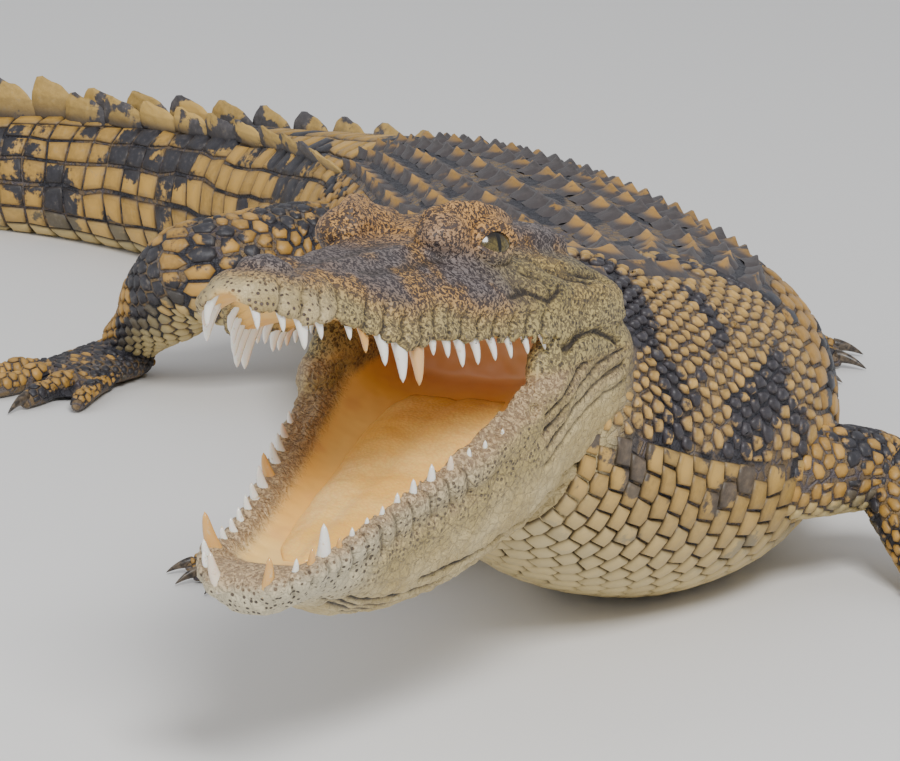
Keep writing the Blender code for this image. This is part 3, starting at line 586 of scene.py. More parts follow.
# small warts and hollows all over the head, coarser on the cheeks and the jaw
rough = np.zeros(len(hide.points))
for i in hide.jaws["both"]:
    p = Vector(hide.points[i])
    rough[i] = 0.0040 * noise.noise(p * 95) + 0.0024 * noise.noise(p * 210)
inside = (hide.low[:, 2] > -0.9) & (np.abs(hide.low[:, 1]) < 0.80 * read_keys(JAW, hide.low[:, 0])[:, 0])
inside &= hide.lower & (hide.normals @ head_axes(LOW_PITCH)[2] > 0.3)
palate = hide.upper & (hide.normals @ head_axes(PITCH)[2] < -0.3)
palate &= np.abs(hide.top[:, 1]) < 0.80 * read_keys(SNOUT, hide.top[:, 0])[:, 0]
rough[inside | palate] *= 0.25
hide.push(rough)
hide.read()


def add_lid(bm, side, upper_lid):
    """One eyelid: a sheet over the eyeball with a thick margin, running on into the mound round the eye."""
    grid = bmesh.new()
    bmesh.ops.create_grid(grid, x_segments=30, y_segments=14, size=0.5)
    flat = np.array([v.co for v in grid.verts])
    p, q = flat[:, 0] * 2, flat[:, 1] + 0.5
    swing = p * math.radians(62)
    open_at = np.clip(1 - (p / 0.66) ** 2, -0.4, 1)
    margin = (0.38 if upper_lid else -0.36) * open_at + 0.06 * p - 0.02
    away = math.radians(86) * (1 if upper_lid else -1)
    lift = margin + (away - margin) * q
    thick = [0.0003, 0.0030, 0.0042, 0.0034, 0] if upper_lid else [0.0002, 0.0012, 0.0017, 0.0014, 0]
    radius = EYE_RADIUS + np.interp(q, [0, 0.04, 0.14, 0.4, 1], thick)
    local = np.stack([np.sin(swing) * np.cos(lift), np.sin(lift), np.cos(swing) * np.cos(lift)], 1)
    local *= radius[:, None]
    for vert, point in zip(grid.verts, eye_centre(side) + local @ eye_frame(side)):
        vert.co = point
    bmesh.ops.recalc_face_normals(grid, faces=grid.faces)
    face = grid.faces[0]
    if face.normal.dot(face.calc_center_median() - Vector(eye_centre(side))) < 0:
        bmesh.ops.reverse_faces(grid, faces=grid.faces)
    merge(bm, grid)


def eye_centre(side):
    """The middle of the left (1) or right (-1) eyeball."""
    return head_point(EYE_SEAT[0], side * EYE_SEAT[1], EYE_SEAT[2])


def eye_frame(side):
    """Rows: along the slit between the lids, up, and the way the eye looks."""
    forward, left, up = head_axes(PITCH)
    look = 0.86 * side * left + 0.44 * forward + 0.26 * up
    look /= np.linalg.norm(look)
    along = forward - look * (forward @ look)
    along /= np.linalg.norm(along)
    over = np.cross(look, along)
    return np.stack([along, over if over @ up > 0 else -over, look])


SOCKET = 46, 20  # degrees from the way of the look: the open part of the socket, and its slope
for side in (-1, 1):
    offset = hide.points - eye_centre(side)
    far = np.maximum(np.linalg.norm(offset, axis=1), 1e-9)
    apart = np.degrees(np.arccos(np.clip(offset @ eye_frame(side)[2] / far, -1, 1)))
    open_here = (1 - np.clip((apart - SOCKET[0]) / SOCKET[1], 0, 1)) * (far < 2.2 * EYE_RADIUS)
    hide.points += offset * (open_here * (np.minimum(far, 0.93 * EYE_RADIUS) / far - 1))[:, None]
hide.read()

lids = bmesh.new()
lids.from_mesh(skin.data)
worked = len(lids.verts)
for side in (-1, 1):
    for upper_lid in (True, False):
        add_lid(lids, side, upper_lid)
lids.to_mesh(skin.data)
lids.free()
skin.data.shade_smooth()

# what the finish of the hide needs to know at each point
groove_shading = np.concatenate([hide.groove_shading, np.zeros(len(skin.data.vertices) - worked)])
hide = Hide(skin.data)
u, v, w = hide.top.T
half, lip, top = columns_at(SNOUT, u)
ju, jv, jw = hide.low.T
jaw_half, jaw_lip, _, jaw_floor = columns_at(JAW, ju)
forward, left, up = head_axes(PITCH)
facing_up = hide.normals @ head_axes(LOW_PITCH)[2]


def ease(value, low, high):
    """From 0 at low to 1 at high, smoothly."""
    t = np.clip((value - low) / (high - low), 0, 1)
    return t * t * (3 - 2 * t)


palate = hide.upper * ease(-(hide.normals @ up), -0.1, 0.5) * ease(0.90 * half - np.abs(v), 0, 0.02)
gums = hide.lower * ease(facing_up, 0.1, 0.5) * ease(1.02 - ju, 0, 0.03)
floor = gums * ease(0.76 * jaw_half - np.abs(jv), 0, 0.02) * ease(ju, 0.13, 0.16)
lining = (palate * ease(lip + 0.05 - w, 0, 0.02) + floor) * ease(1.02 - u, 0, 0.03)
throat_wall = ease(hide.normals @ forward, 0.10, 0.45) * ease(u, 0.78, 0.86) * ease(1.12 - u, 0, 0.04)
throat_wall *= ease(0.205 - np.abs(v), 0, 0.02) * ease(lip + 0.02 - w, 0, 0.03)
lining = np.maximum(lining, throat_wall * ease(jw - jaw_lip + jaw_floor, -0.05, -0.02))
chin = hide.lower * ease(-0.06 - jw + jaw_lip, 0, 0.10)
on_head = (hide.upper | hide.lower) * ease(1.13 - u, 0, 0.10)
brow = hide.upper * np.exp(-(((u - 0.655) / 0.135) ** 2)) * ease(w, 0.120, 0.170)
rim = hide.lower * ease(jw - jaw_lip, -0.075, -0.02) * ease(0.62 - ju, 0, 0.15)
patches = [noise.fractal(Vector(p) * 22, 0.8, 2.0, 3) if k < 1 else 0 for p, k in zip(hide.points, on_head)]
marks = {  # values at the points, and how often they are evened out
    "lining": (lining, 2),
    "front": (hide.upper * ease(0.20 - u, -0.03, 0.10) * ease(lip + 0.055 - w, -0.02, 0.03), 4),
    "crown": (hide.upper * ease(w - lip - 0.05, 0, 0.05), 6),
    "chin": (chin, 6),
    "jaw_side": (hide.lower * (1 - chin), 3),
    "on_head": (on_head, 2),
    "brow": (brow, 3),
    "face": (hide.upper * ease(u, 0.60, 0.74) * ease(0.165 - w, 0, 0.04), 4),
    "ribs": (hide.upper * ease(lip + 0.080 - w, 0, 0.05) * (1 - lining), 3),
    "rim": (rim, 3),
    "corner": (0.6 * ease(u, 0.86, 1.0) * lining, 4),
    "groove_shade": (groove_shading, 0),
    "patch": (np.array(patches), 0),
    "gums": (gums * (1 - lining), 3),
    "tip": (hide.lower * ease(0.30 - ju, 0, 0.14), 2),
}


def mark(mesh, name, values):
    """Stores one value at each point of a mesh, for its finish to read."""
    layer = mesh.attributes.new(name, "FLOAT", "POINT")
    layer.data.foreach_set("value", np.asarray(values, np.float32))


edges = np.empty(2 * len(skin.data.edges), np.int32)
skin.data.edges.foreach_get("vertices", edges)
a, b = edges.reshape(-1, 2).T
count = len(hide.points)
shared = np.bincount(a, minlength=count) + np.bincount(b, minlength=count) + 1.0
for name, (values, rounds) in marks.items():
    for _ in range(rounds):
        values = (values + np.bincount(a, values[b], count) + np.bincount(b, values[a], count)) / shared
    mark(skin.data, name, values)


class Value:
    """A number or colour worked out by a finish at each place of a surface."""

    def __init__(self, finish, socket):
        self.finish, self.socket = finish, socket

    def math(self, way, other):
        return self.finish.node("Math", 0, {0: self, 1: other}, operation=way)

    def __add__(self, other):
        return self.math("ADD", other)

    def __sub__(self, other):
        return self.math("SUBTRACT", other)

    def __mul__(self, other):
        return self.math("MULTIPLY", other)

    def ramp(self, low, high):
        """From 0 at low to 1 at high."""
        return self.finish.node("MapRange", 0, {0: self, 1: low, 2: high}, interpolation_type="SMOOTHSTEP")


class Finish:
    """A finish: a shader, and the nodes that vary it over a surface."""

    def __init__(self, name, settings):
        self.material = bpy.data.materials.new(name)
        self.material.use_nodes = True
        self.tree = self.material.node_tree
        self.shader = self.tree.nodes["Principled BSDF"]
        self.fill(self.shader, settings)
        self.where = self.node("TexCoord", "Object")

    def fill(self, made, inputs):
        """Sets the inputs of a node: numbers, colours or values."""
        for key, value in inputs.items():
            if isinstance(value, Value):
                self.tree.links.new(value.socket, made.inputs[key])
            else:
                made.inputs[key].default_value = (*value, 1) if isinstance(value, tuple) else value

    def node(self, kind, output, inputs={}, **settings):
        made = self.tree.nodes.new("ShaderNode" + kind)
        for key, value in settings.items():
            setattr(made, key, value)
        self.fill(made, inputs)
        return Value(self, made.outputs[output])

    def mix(self, share, a, b):
        """A colour between two colours."""
        return self.node("Mix", 2, {0: share, 6: a, 7: b}, data_type="RGBA", clamp_factor=True)

    def grain(self, scale, detail=2.0, rough=0.5, twist=0.0):
        return self.node("TexNoise", "Fac", {"Vector": self.where, "Scale": scale, "Detail": detail,
                                             "Roughness": rough, "Distortion": twist})

    def cells(self, scale, feature="F1", uneven=1.0):
        inputs = {"Vector": self.where, "Scale": scale, "Randomness": uneven}
        return self.node("TexVoronoi", "Distance", inputs, feature=feature)

    def stored(self, name):
        return self.node("Attribute", "Fac", attribute_name=name)

    def dress(self, piece, colour, height, strength, distance):
        """Gives the finish to a piece, with its colour and the height of its relief."""
        relief = self.node("Bump", 0, {"Height": height, "Strength": strength, "Distance": distance})
        self.fill(self.shader, {"Base Color": colour, "Normal": relief})
        if piece:
            piece.data.materials.append(self.material)


def seat(piece, slot, *nodes):
    """Sets a piece on the body and hides the solids that it stands for; its slot is not used."""
    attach(piece, "root")
    if nodes:
        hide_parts(*nodes)


f = Finish("crocodile_hide", {})
(lining, front, crown, chin, jaw_side, on_head, brow, face, ribs, rim, corner, groove_shade, blotch, gums,
 tip) = map(f.stored, marks)
fleck, broad, patch = f.grain(560.0, 1.5, 0.55, 0.8), f.grain(34.0, 2.0, 0.6), f.grain(13.0, 1.0, 0.5)
pits = f.cells(320.0, uneven=0.75).ramp(0.36, 0.23)
crack = f.cells(135.0, "DISTANCE_TO_EDGE")
seams = crack.ramp(0.050, 0.012)
broadly, softly = broad.ramp(0.35, 0.65), broad.ramp(0.3, 0.7)
# wriggling dark flecks on ochre, greyer along the top of the snout
dark = (crown * 0.030 + brow * -0.010 + broad * 0.14 + 0.408 - fleck).ramp(-0.050, 0.045)
tan = f.mix(broad.ramp(0.40, 0.62), (0.31, 0.19, 0.070), (0.50, 0.27, 0.075))
dusky = f.mix(patch.ramp(0.42, 0.60), (0.16, 0.120, 0.110), (0.135, 0.125, 0.14))
dusky = f.mix(broad.ramp(0.52, 0.66), dusky, (0.42, 0.23, 0.070))
above = f.mix(crown * 0.85, tan, dusky)
above = f.mix(brow, above, (0.50, 0.26, 0.075))
olive = f.mix(broad.ramp(0.38, 0.62), (0.29, 0.222, 0.070), (0.42, 0.31, 0.100))
above = f.mix(face * 0.8, above, olive)
above = f.mix(ribs * 0.85, above, (0.39, 0.305, 0.125))
cheek = face.math("MAXIMUM", ribs)
above = f.mix(dark * (cheek * -0.26 + 0.92), above, (0.026, 0.018, 0.020))
above = f.mix(pits * cheek * 0.8, above, (0.040, 0.030, 0.022))
# the pale front of the snout, with small round pits
pale = f.mix(softly, (0.33, 0.245, 0.105), (0.57, 0.46, 0.255))
above = f.mix(front, above, f.mix(pits, pale, (0.075, 0.050, 0.040)))
# the sides of the lower jaw: olive and tan plates with fine seams and pits, cream at the rim and throat
plates = f.mix(broadly, (0.33, 0.25, 0.092), (0.48, 0.36, 0.145))
plates = f.mix(rim, plates, (0.56, 0.46, 0.27))
plates = f.mix(dark * 0.42, plates, (0.13, 0.10, 0.07))
plates = f.mix(pits * 0.85, plates, (0.060, 0.045, 0.036))
plates = f.mix(seams * 0.55, plates, (0.12, 0.09, 0.06))
plates = f.mix(tip * 0.8, plates, f.mix(pits, (0.62, 0.55, 0.38), (0.06, 0.045, 0.035)))
throat = f.mix(softly, (0.48, 0.36, 0.15), (0.62, 0.50, 0.26))
throat = f.mix(seams * 0.5, throat, (0.34, 0.26, 0.14))
below = (jaw_side + chin).math("MINIMUM", 1.0)
outer = f.mix(below, above, f.mix(chin, plates, throat))
gum = f.mix(fleck.ramp(0.42, 0.58), (0.24, 0.155, 0.085), (0.47, 0.33, 0.18))
outer = f.mix(gums * 0.9, outer, gum)
# dark bluish skin between the scales of the body, with granules
dim = blotch.ramp(-0.02, -0.14)
bare = f.mix(broadly, (0.085, 0.070, 0.080), (0.14, 0.115, 0.10))
bare = f.mix(dim, bare, (0.022, 0.022, 0.030))
amber = f.mix(broadly, (0.13, 0.088, 0.045), (0.24, 0.150, 0.050))
amber = f.mix(dim, amber, (0.036, 0.034, 0.042))
bare = f.mix(crack.ramp(0.03, 0.16) * 0.75, bare, amber)
outer = f.mix(on_head, bare, outer)
# painted shade: the grooves of the face, lips and jaws are darkened
outer = f.mix(groove_shade.ramp(0.30, 1.0), outer, (0.022, 0.015, 0.010))
# the moist lining of the mouth
moist = f.mix(patch.ramp(0.35, 0.65), (0.85, 0.48, 0.12), (0.90, 0.60, 0.20))
moist = f.mix(broad.ramp(0.56, 0.70) * 0.4, moist, (0.66, 0.32, 0.13))
moist = f.mix(corner, moist, (0.80, 0.34, 0.22))
f.fill(f.shader, {"Roughness": lining * -0.22 + broad * 0.20 + 0.46})
raised = dark * -0.5 + crack.ramp(0.0, 0.12) * (on_head * (below * 0.6 - 1.0) + 1.0) + pits * -0.7 + 0.5
raised = raised * (lining * -1.0 + 1.0) + broad * lining * 1.2
skin.data.materials.clear()
f.dress(skin, f.mix(lining, outer, moist), raised, 0.75, 0.0012)
seat(skin, "hide", *[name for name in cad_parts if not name.startswith(("claw_", "eye_", "tongue"))])

# ---- The eyes -----------------------------------------------------------------------------------------
# Each eye is a glass ball with an olive-gold iris and an upright slit pupil, seated in the mound
# of its socket under the lids; painted shade of the upper lid darkens the top of the iris.

for label, side in (("left", 1), ("right", -1)):
    ball = bmesh.new()
    bmesh.ops.create_uvsphere(ball, u_segments=48, v_segments=32, radius=EYE_RADIUS)
    turn = Matrix(eye_frame(side).T.tolist()).to_4x4()
    bmesh.ops.transform(ball, matrix=Matrix.Translation(Vector(eye_centre(side))) @ turn, verts=ball.verts)
    bmesh.ops.recalc_face_normals(ball, faces=ball.faces)
    eye = add_object(ball, f"eyeball_{label}")
    local = (coordinates(eye.data) - eye_centre(side)) @ eye_frame(side).T / EYE_RADIUS
    mark(eye.data, "slit", local[:, 0])
    mark(eye.data, "height", local[:, 1])
    f = Finish(f"eye_glass_{label}", {"Roughness": 0.14, "Coat Weight": 0.5, "Coat Roughness": 0.06,
                                      "IOR": 1.42})
    slit, height = f.stored("slit"), f.stored("height")
    out = (slit * slit + height * height).math("SQRT", 0.0)
    gold = f.mix(f.grain(900.0, 3.0, 0.7).ramp(0.35, 0.65), (0.045, 0.034, 0.011), (0.13, 0.098, 0.030))
    gold = f.mix(out.ramp(0.50, 0.72), gold, (0.055, 0.042, 0.02))
    # painted shade of the upper lid: the iris darkens towards its top
    gold = f.mix(height.ramp(-0.02, 0.26), gold, (0.014, 0.010, 0.006))
    pupil = (height * height * -0.30 + 0.085 - slit.math("ABSOLUTE", 0.0)).ramp(-0.012, 0.012)
    f.fill(f.shader, {"Base Color": f.mix(pupil, gold, (0.006, 0.005, 0.004))})
    eye.data.materials.append(f.material)
    seat(eye, "eye_surface", "eye_" + label)

# ---- The teeth ----------------------------------------------------------------------------------------
# Ivory cones in two rows, each a little bent and set in its own socket in the lip; the fourth and
# ninth of a row are the longest.

teeth = bmesh.new()
tones = []
rng = np.random.default_rng(7)
for rows, keys, pitch, way in ((UPPER_TEETH, SNOUT, PITCH, -1), (LOWER_TEETH, JAW, LOW_PITCH, 1)):
    for side in (-1, 1):
        for u, length, radius in rows:
            seat_v, lip = read_keys(keys, u)[:2]
            length *= rng.uniform(0.88, 1.0)
            twist = rng.uniform(-0.004, 0.004)

            def cone(t, turn):
                size = radius * 1.12 * np.sqrt(np.maximum(1 - t**1.5, 0.0)) * (1 - 0.25 * t) + 0.0004
                bend = 0.010 * np.sin(np.pi * t * 0.9)
                back = u + 0.006 * t * t + twist * t + size * np.cos(turn)
                out = seat_v - 0.023 + 0.013 * t + bend * 0.4 + size * 0.9 * np.sin(turn)
                return head_point(back, side * out, lip + way * (-0.022 + (length + 0.022) * t), pitch)

            before = len(teeth.verts)
            add_loft(teeth, cone, (0, 1), 10, 12)
            tones += [rng.uniform()] * (len(teeth.verts) - before)
bmesh.ops.recalc_face_normals(teeth, faces=teeth.faces)
teeth = add_object(teeth, "teeth")
mark(teeth.data, "tone", tones)
f = Finish("tooth_ivory", {"Roughness": 0.22, "Subsurface Weight": 0.15, "Subsurface Scale": 0.003,
                           "Coat Weight": 0.3})
cloud = f.grain(240.0, 3.0, 0.6)
colour = f.mix(cloud, (0.80, 0.76, 0.66), (0.88, 0.86, 0.80))
colour = f.mix(f.stored("tone").ramp(0.84, 0.92), colour, (0.66, 0.36, 0.10))
colour = f.mix(cloud.ramp(0.58, 0.75), colour, (0.58, 0.45, 0.26))
f.dress(teeth, colour, cloud, 0.2, 0.0004)
seat(teeth, "mouth_lining")

# ---- The tongue ---------------------------------------------------------------------------------------
# A broad pad fixed along the floor of the mouth, with a shallow furrow down its middle.

TONGUE = [  # back from the jaw's tip, half width, height over the mouth's floor
    (0.19, 0.020, 0.004), (0.24, 0.050, 0.014), (0.34, 0.074, 0.021), (0.50, 0.094, 0.026),
    (0.66, 0.112, 0.028), (0.78, 0.118, 0.022), (0.85, 0.104, 0.008),
]


def tongue_surface(u, turn):
    """The pad of the tongue, over the floor of the mouth."""
    half, rise = columns_at(TONGUE, u)
    _, lip, _, floor = columns_at(JAW, u)
    c, s = squared(turn, 2.4)
    furrow = 0.006 * np.exp(-((half * c / 0.016) ** 2)) * (s > 0)
    return head_point(u, half * c, lip - floor + np.where(s > 0, rise, 0.016) * s - furrow, LOW_PITCH)


tongue = bmesh.new()
add_loft(tongue, tongue_surface, (0.192, 0.848), 90, 60)
for vert in tongue.verts:
    vert.co.z += 0.0012 * noise.noise(vert.co * 60) + 0.0005 * noise.noise(vert.co * 230)
tongue = add_object(tongue, "tongue_pad")
f = Finish("tongue_skin", {"Roughness": 0.34, "Subsurface Weight": 0.12, "Subsurface Scale": 0.004})
buds = f.cells(520.0)
colour = f.mix(f.grain(22.0, 3.0, 0.6).ramp(0.35, 0.65), (0.82, 0.48, 0.11), (0.88, 0.60, 0.20))
colour = f.mix(buds.ramp(0.42, 0.60) * 0.4, colour, (0.78, 0.42, 0.12))
f.dress(tongue, colour, buds, 0.4, 0.0005)
seat(tongue, "mouth_lining", "tongue")

# ---- The claws ----------------------------------------------------------------------------------------
# Only the three inner toes of each foot carry a claw: a dark curved horn out of a short sheath.

claws = bmesh.new()
for i, toe, (start, ahead, reach, radius) in toe_lines:
    if i > 2:
        continue

    def horn(t, turn):
        size = radius * 0.56 * (1 - t) ** 0.75 + 0.0002
        along = reach - 0.004 + radius * 2.55 * t
        across = np.array([ahead[1], -ahead[0], 0])
        height = radius * 0.85 * (1 - t * t) + 0.0016 + size * np.sin(turn)
        point = start + ahead * along[..., None] + across * (size * 0.75 * np.cos(turn))[..., None]
        point[..., 2] = np.maximum(height, 0.0006)
        return point

    add_loft(claws, horn, (0, 1), 12, 14)
bmesh.ops.recalc_face_normals(claws, faces=claws.faces)
claws = add_object(claws, "claws")
f = Finish("claw_horn", {"Roughness": 0.34})
streak = f.grain(300.0, 4.0, 0.6, 0.5)
f.dress(claws, f.mix(streak.ramp(0.35, 0.7), (0.030, 0.024, 0.020), (0.16, 0.12, 0.08)), streak, 0.3, 0.0004)
seat(claws, "claw_horn", *[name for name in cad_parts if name.startswith("claw_")])

# ---- The scales of the trunk and neck -----------------------------------------------------------------
# Horny plates on the hide: keeled shields in rows over the back, round studs on the neck and flanks,
# and smooth oblong tiles under the throat and belly. Each is a small closed pad set in the skin.


def toned(colour, factor):
    """A lighter or darker tone of a colour."""
    return tuple(factor * c for c in colour)


def lattice(rng, rows, columns, size, gap, uneven, brick, point, keep):
    """Flat cells parted by gaps: squares in rows or, laid like bricks and pointed, hexagons."""
    across = columns * (2 if brick else 1)
    bm = bmesh.new()
    bmesh.ops.create_grid(bm, x_segments=rows, y_segments=across, size=0.5)
    joints = []
    for edge in bm.edges:
        (x0, y0, _), (x1, y1, _) = edge.verts[0].co, edge.verts[1].co
        row, column = math.floor((min(x0, x1) + 0.5) * rows + 0.01), round((y0 + 0.5) * across)
        if brick and abs(y0 - y1) < 1e-5 and 0 < column < across and (row + column) % 2:
            joints.append(edge)
    bmesh.ops.dissolve_edges(bm, edges=joints, use_verts=False)
    for vert in bm.verts:
        x, y = vert.co.x + 0.5, vert.co.y + 0.5
        shift = rng.uniform(-uneven, uneven, 2)
        if brick:
            shift[0] += -point if (round(y * across) + round(x * rows)) % 2 else point
        if 0.001 < x < 0.999:
            vert.co.x += shift[0] / rows
        if 0.001 < y < 0.999:
            vert.co.y += shift[1] / columns
        vert.co.x *= size[0]
        vert.co.y *= size[1]
    bmesh.ops.split_edges(bm, edges=bm.edges)
    if keep:
        out = [f for f in bm.faces if not keep(f.calc_center_median().x / size[0] + 0.5)]
        bmesh.ops.delete(bm, geom=out, context="FACES")
    rim = bmesh.ops.inset_individual(bm, faces=bm.faces, thickness=gap / 2, use_even_offset=True)["faces"]
    bmesh.ops.delete(bm, geom=rim, context="FACES")
    usual = np.median([f.calc_area() for f in bm.faces])
    bmesh.ops.delete(bm, geom=[f for f in bm.faces if f.calc_area() < 0.45 * usual], context="FACES")
    return bm


def lay_scales(surface, along, turns, rows, columns, girth, depth=0.0036, rise=0.0, gap=0.0014, slope=0.0016,
               uneven=0.10, brick=True, keel=0.0, seed=1, keep=None, blotch=26.0, point=0.13,
               tile=(0, 0, 1, 1)):
    """Pads on a surface: the cells of a lattice, domed or keeled and wrapped on, in a tile of the map."""
    rng = np.random.default_rng(seed)
    size = np.array([abs(along[1] - along[0]), girth])
    bm = lattice(rng, rows, columns, size, gap, uneven, brick, point, keep)
    number = bm.faces.layers.int.new("number")
    tops = list(bm.faces)
    centres, spans = [], []
    for i, face in enumerate(tops):
        face[number] = i
        corners = np.array([v.co[:2] for v in face.verts])
        centres.append((corners.min(0) + corners.max(0)) / 2)
        spans.append(corners.max(0) - corners.min(0))
    centres, spans = np.array(centres), np.array(spans)
    for vert in bm.verts:
        vert.co.z = -depth
    copied = bmesh.ops.duplicate(bm, geom=tops)["geom"]
    bmesh.ops.reverse_faces(bm, faces=[g for g in copied if isinstance(g, bmesh.types.BMFace)])
    if keel:
        edges = [e for f in tops for e in f.edges]
        bmesh.ops.subdivide_edges(bm, edges=edges, cuts=5, use_grid_fill=True)
        for face in [f for f in bm.faces if f.normal.z >= 0]:
            for vert in face.verts:
                a, b = (np.array(vert.co[:2]) - centres[face[number]]) / (spans[face[number]] / 2 + 1e-9)
                dome = (1 - min(1, abs(a)) ** 4) * (1 - min(1, abs(b)) ** 3)
                ridge = math.exp(-((b / 0.26) ** 2)) * (0.45 + 0.55 * max(-1, min(1, a + 0.25)))
                ridge = max(0, ridge * (1 - max(0, a) ** 6))
                inside = max(abs(a), abs(b)) < 0.97
                vert.co.z = -depth + ((depth + rise) * dome**0.6 + keel * ridge * dome if inside else 0)
    else:
        for step, level in ((0.45, 0.62), (0.75, 0.92)):
            bmesh.ops.inset_individual(bm, faces=tops, thickness=slope * step, use_even_offset=True)
            for vert in {vert for face in tops for vert in face.verts}:
                vert.co.z = -depth + level * (depth + rise)
        for vert in bmesh.ops.poke(bm, faces=tops)["verts"]:
            vert.co.z = rise
    bmesh.ops.remove_doubles(bm, verts=bm.verts, dist=2e-5)
    mesh = bpy.data.meshes.new("scales")
    bm.to_mesh(mesh)
    bm.free()
    flat = coordinates(mesh)
    corner = np.empty(len(mesh.loops), np.int32)
    mesh.loops.foreach_get("vertex_index", corner)
    loops, numbers = (np.empty(len(mesh.polygons), np.int32) for _ in range(2))
    mesh.polygons.foreach_get("loop_total", loops)
    mesh.attributes["number"].data.foreach_get("value", numbers)
    mine = np.zeros(len(flat), np.int32)
    mine[corner] = np.repeat(numbers, loops)

    def wrapped(places):
        """The way along, and the angle, of places of the flat lattice."""
        x, y = (places[:, :2] / size + 0.5).T
        return along[0] + x * (along[1] - along[0]), turns[0] + y * (turns[1] - turns[0])

    points = surface(*wrapped(flat)) + flat[:, 2:3] * normals_of(surface, *wrapped(flat))
    points[:, 2] = np.maximum(points[:, 2], 0.0002)
    set_coordinates(mesh, points)
    scale_patch, point_patch = (np.array([noise.fractal(Vector(p) * blotch, 0.8, 2.0, 3) for p in places])
                                for places in (surface(*wrapped(centres)), points))
    mark(mesh, "low", ease(-normals_of(surface, *wrapped(centres))[:, 2], 0.25, 1.0)[mine])
    mark(mesh, "patch", 0.35 * scale_patch[mine] + 0.65 * point_patch)
    mark(mesh, "tone", rng.uniform(0, 1, len(centres))[mine])
    mark(mesh, "rise", (flat[:, 2] + depth) / (depth + rise + keel * 0.6))
    # each pad is a small patch of the map, at its root's place on the unrolled surface
    spot = np.array(tile[:2]) + (0.02 + 0.96 * (centres[mine] / size + 0.5)) * tile[2:]
    spot += 0.003 * (flat[:, :2] - centres[mine]) / (spans[mine] + 1e-9)
    layer = mesh.uv_layers.new(name="OFBake")
    layer.data.foreach_set("uv", spot[corner].astype(np.float32).ravel())
    mesh.attributes.remove(mesh.attributes["number"])
    return mesh


def field(*places, **settings):
    """Scales that are laid when they are joined, and their tile of the map is known."""
    return partial(lay_scales, *places, **settings)


def join_coat(name, fields, finish, slot_name="hide"):
    """One piece of coat from several fields of scales, each with its own tile of the map OFBake."""
    across = 1 if len(fields) < 5 else math.ceil(math.sqrt(len(fields)))
    down = math.ceil(len(fields) / across)
    whole = bmesh.new()
    for i, laid in enumerate(fields):
        mesh = laid(tile=(i % across / across, i // across / down, 1 / across, 1 / down))
        whole.from_mesh(mesh)
        bpy.data.meshes.remove(mesh)
    piece = add_object(whole, name)
    piece.data.materials.append(finish.material)
    seat(piece, slot_name)


def scale_finish(name, light, dark, share, worn=(0.30, 0.25, 0.18), seam=(0.030, 0.026, 0.028), pale=None,
                 ridge=False):
    """Horn in two colours by the share of light plates, with dark seams, painted shade on each pad's slopes,
    a worn crown and a pale underside.
    """
    f = Finish(name, {})
    patch, tone, rise = map(f.stored, ("patch", "tone", "rise"))
    cloud = f.grain(230.0, 4.0, 0.62)
    cloudy = cloud.ramp(0.35, 0.65)
    lit = (tone * 0.30 + cloud * 0.50 + patch).ramp(0.35 - share, 0.45 - share)
    if ridge:
        lit = lit * rise.ramp(0.30, 0.62)
    bright = f.mix(cloudy, toned(light, 0.80), light)
    bright = f.mix(tone.ramp(0.5, 1.0), bright, toned(light, 1.22))
    colour = f.mix(lit, f.mix(cloudy, dark, toned(dark, 1.7)), bright)
    # painted shade: each pad is darker on its slopes, below its crown
    colour = f.mix(rise.ramp(0.84, 1.0), f.mix(0.28, colour, (0.02, 0.016, 0.014)), colour)
    colour = f.mix(cloud.ramp(0.56, 0.74) * 0.35, colour, worn)
    if pale:
        colour = f.mix(f.stored("low"), colour, f.mix(tone, pale, toned(pale, 0.84)))
    colour = f.mix(rise.ramp(0.80, 0.20) * 0.85, colour, seam)
    f.fill(f.shader, {"Roughness": cloud * 0.24 + 0.36})
    f.dress(None, colour, cloud, 0.55, 0.0009)
    return f


def degrees(*angles):
    """Angles in degrees, turned into radians."""
    return tuple(math.radians(a) for a in angles)


TRUNK_START, HIPS = 0.470, 1.010
OCHRE, CREAM = (0.49, 0.265, 0.052), (0.64, 0.50, 0.22)

shields = [
    field(body_surface, (TRUNK_START, HIPS), degrees(50, 130), 20, 8, 0.180, gap=0.0046, uneven=0.05,
          brick=False, keel=0.0058, seed=11, blotch=40.0),
    field(body_surface, (0.375, 0.430), degrees(62, 118), 2, 4, 0.098, gap=0.0022, uneven=0.04,
          brick=False, keel=0.0050, seed=12),
    field(body_surface, (0.318, 0.336), degrees(55, 125), 1, 4, 0.100, gap=0.0060, uneven=0.04,
          brick=False, keel=0.0036, seed=13),
]
back_horn = scale_finish("back_horn", (0.47, 0.25, 0.050), (0.060, 0.050, 0.048), -0.05, (0.13, 0.105, 0.080),
                         (0.060, 0.050, 0.050), ridge=True)
join_coat("back_shields", shields, back_horn)


def clear_of_plates(x):
    """Leaves the small scales out where the neck shields stand."""
    place = 0.30 + 0.17 * x
    return not (0.372 < place < 0.433 or 0.312 < place < 0.342)


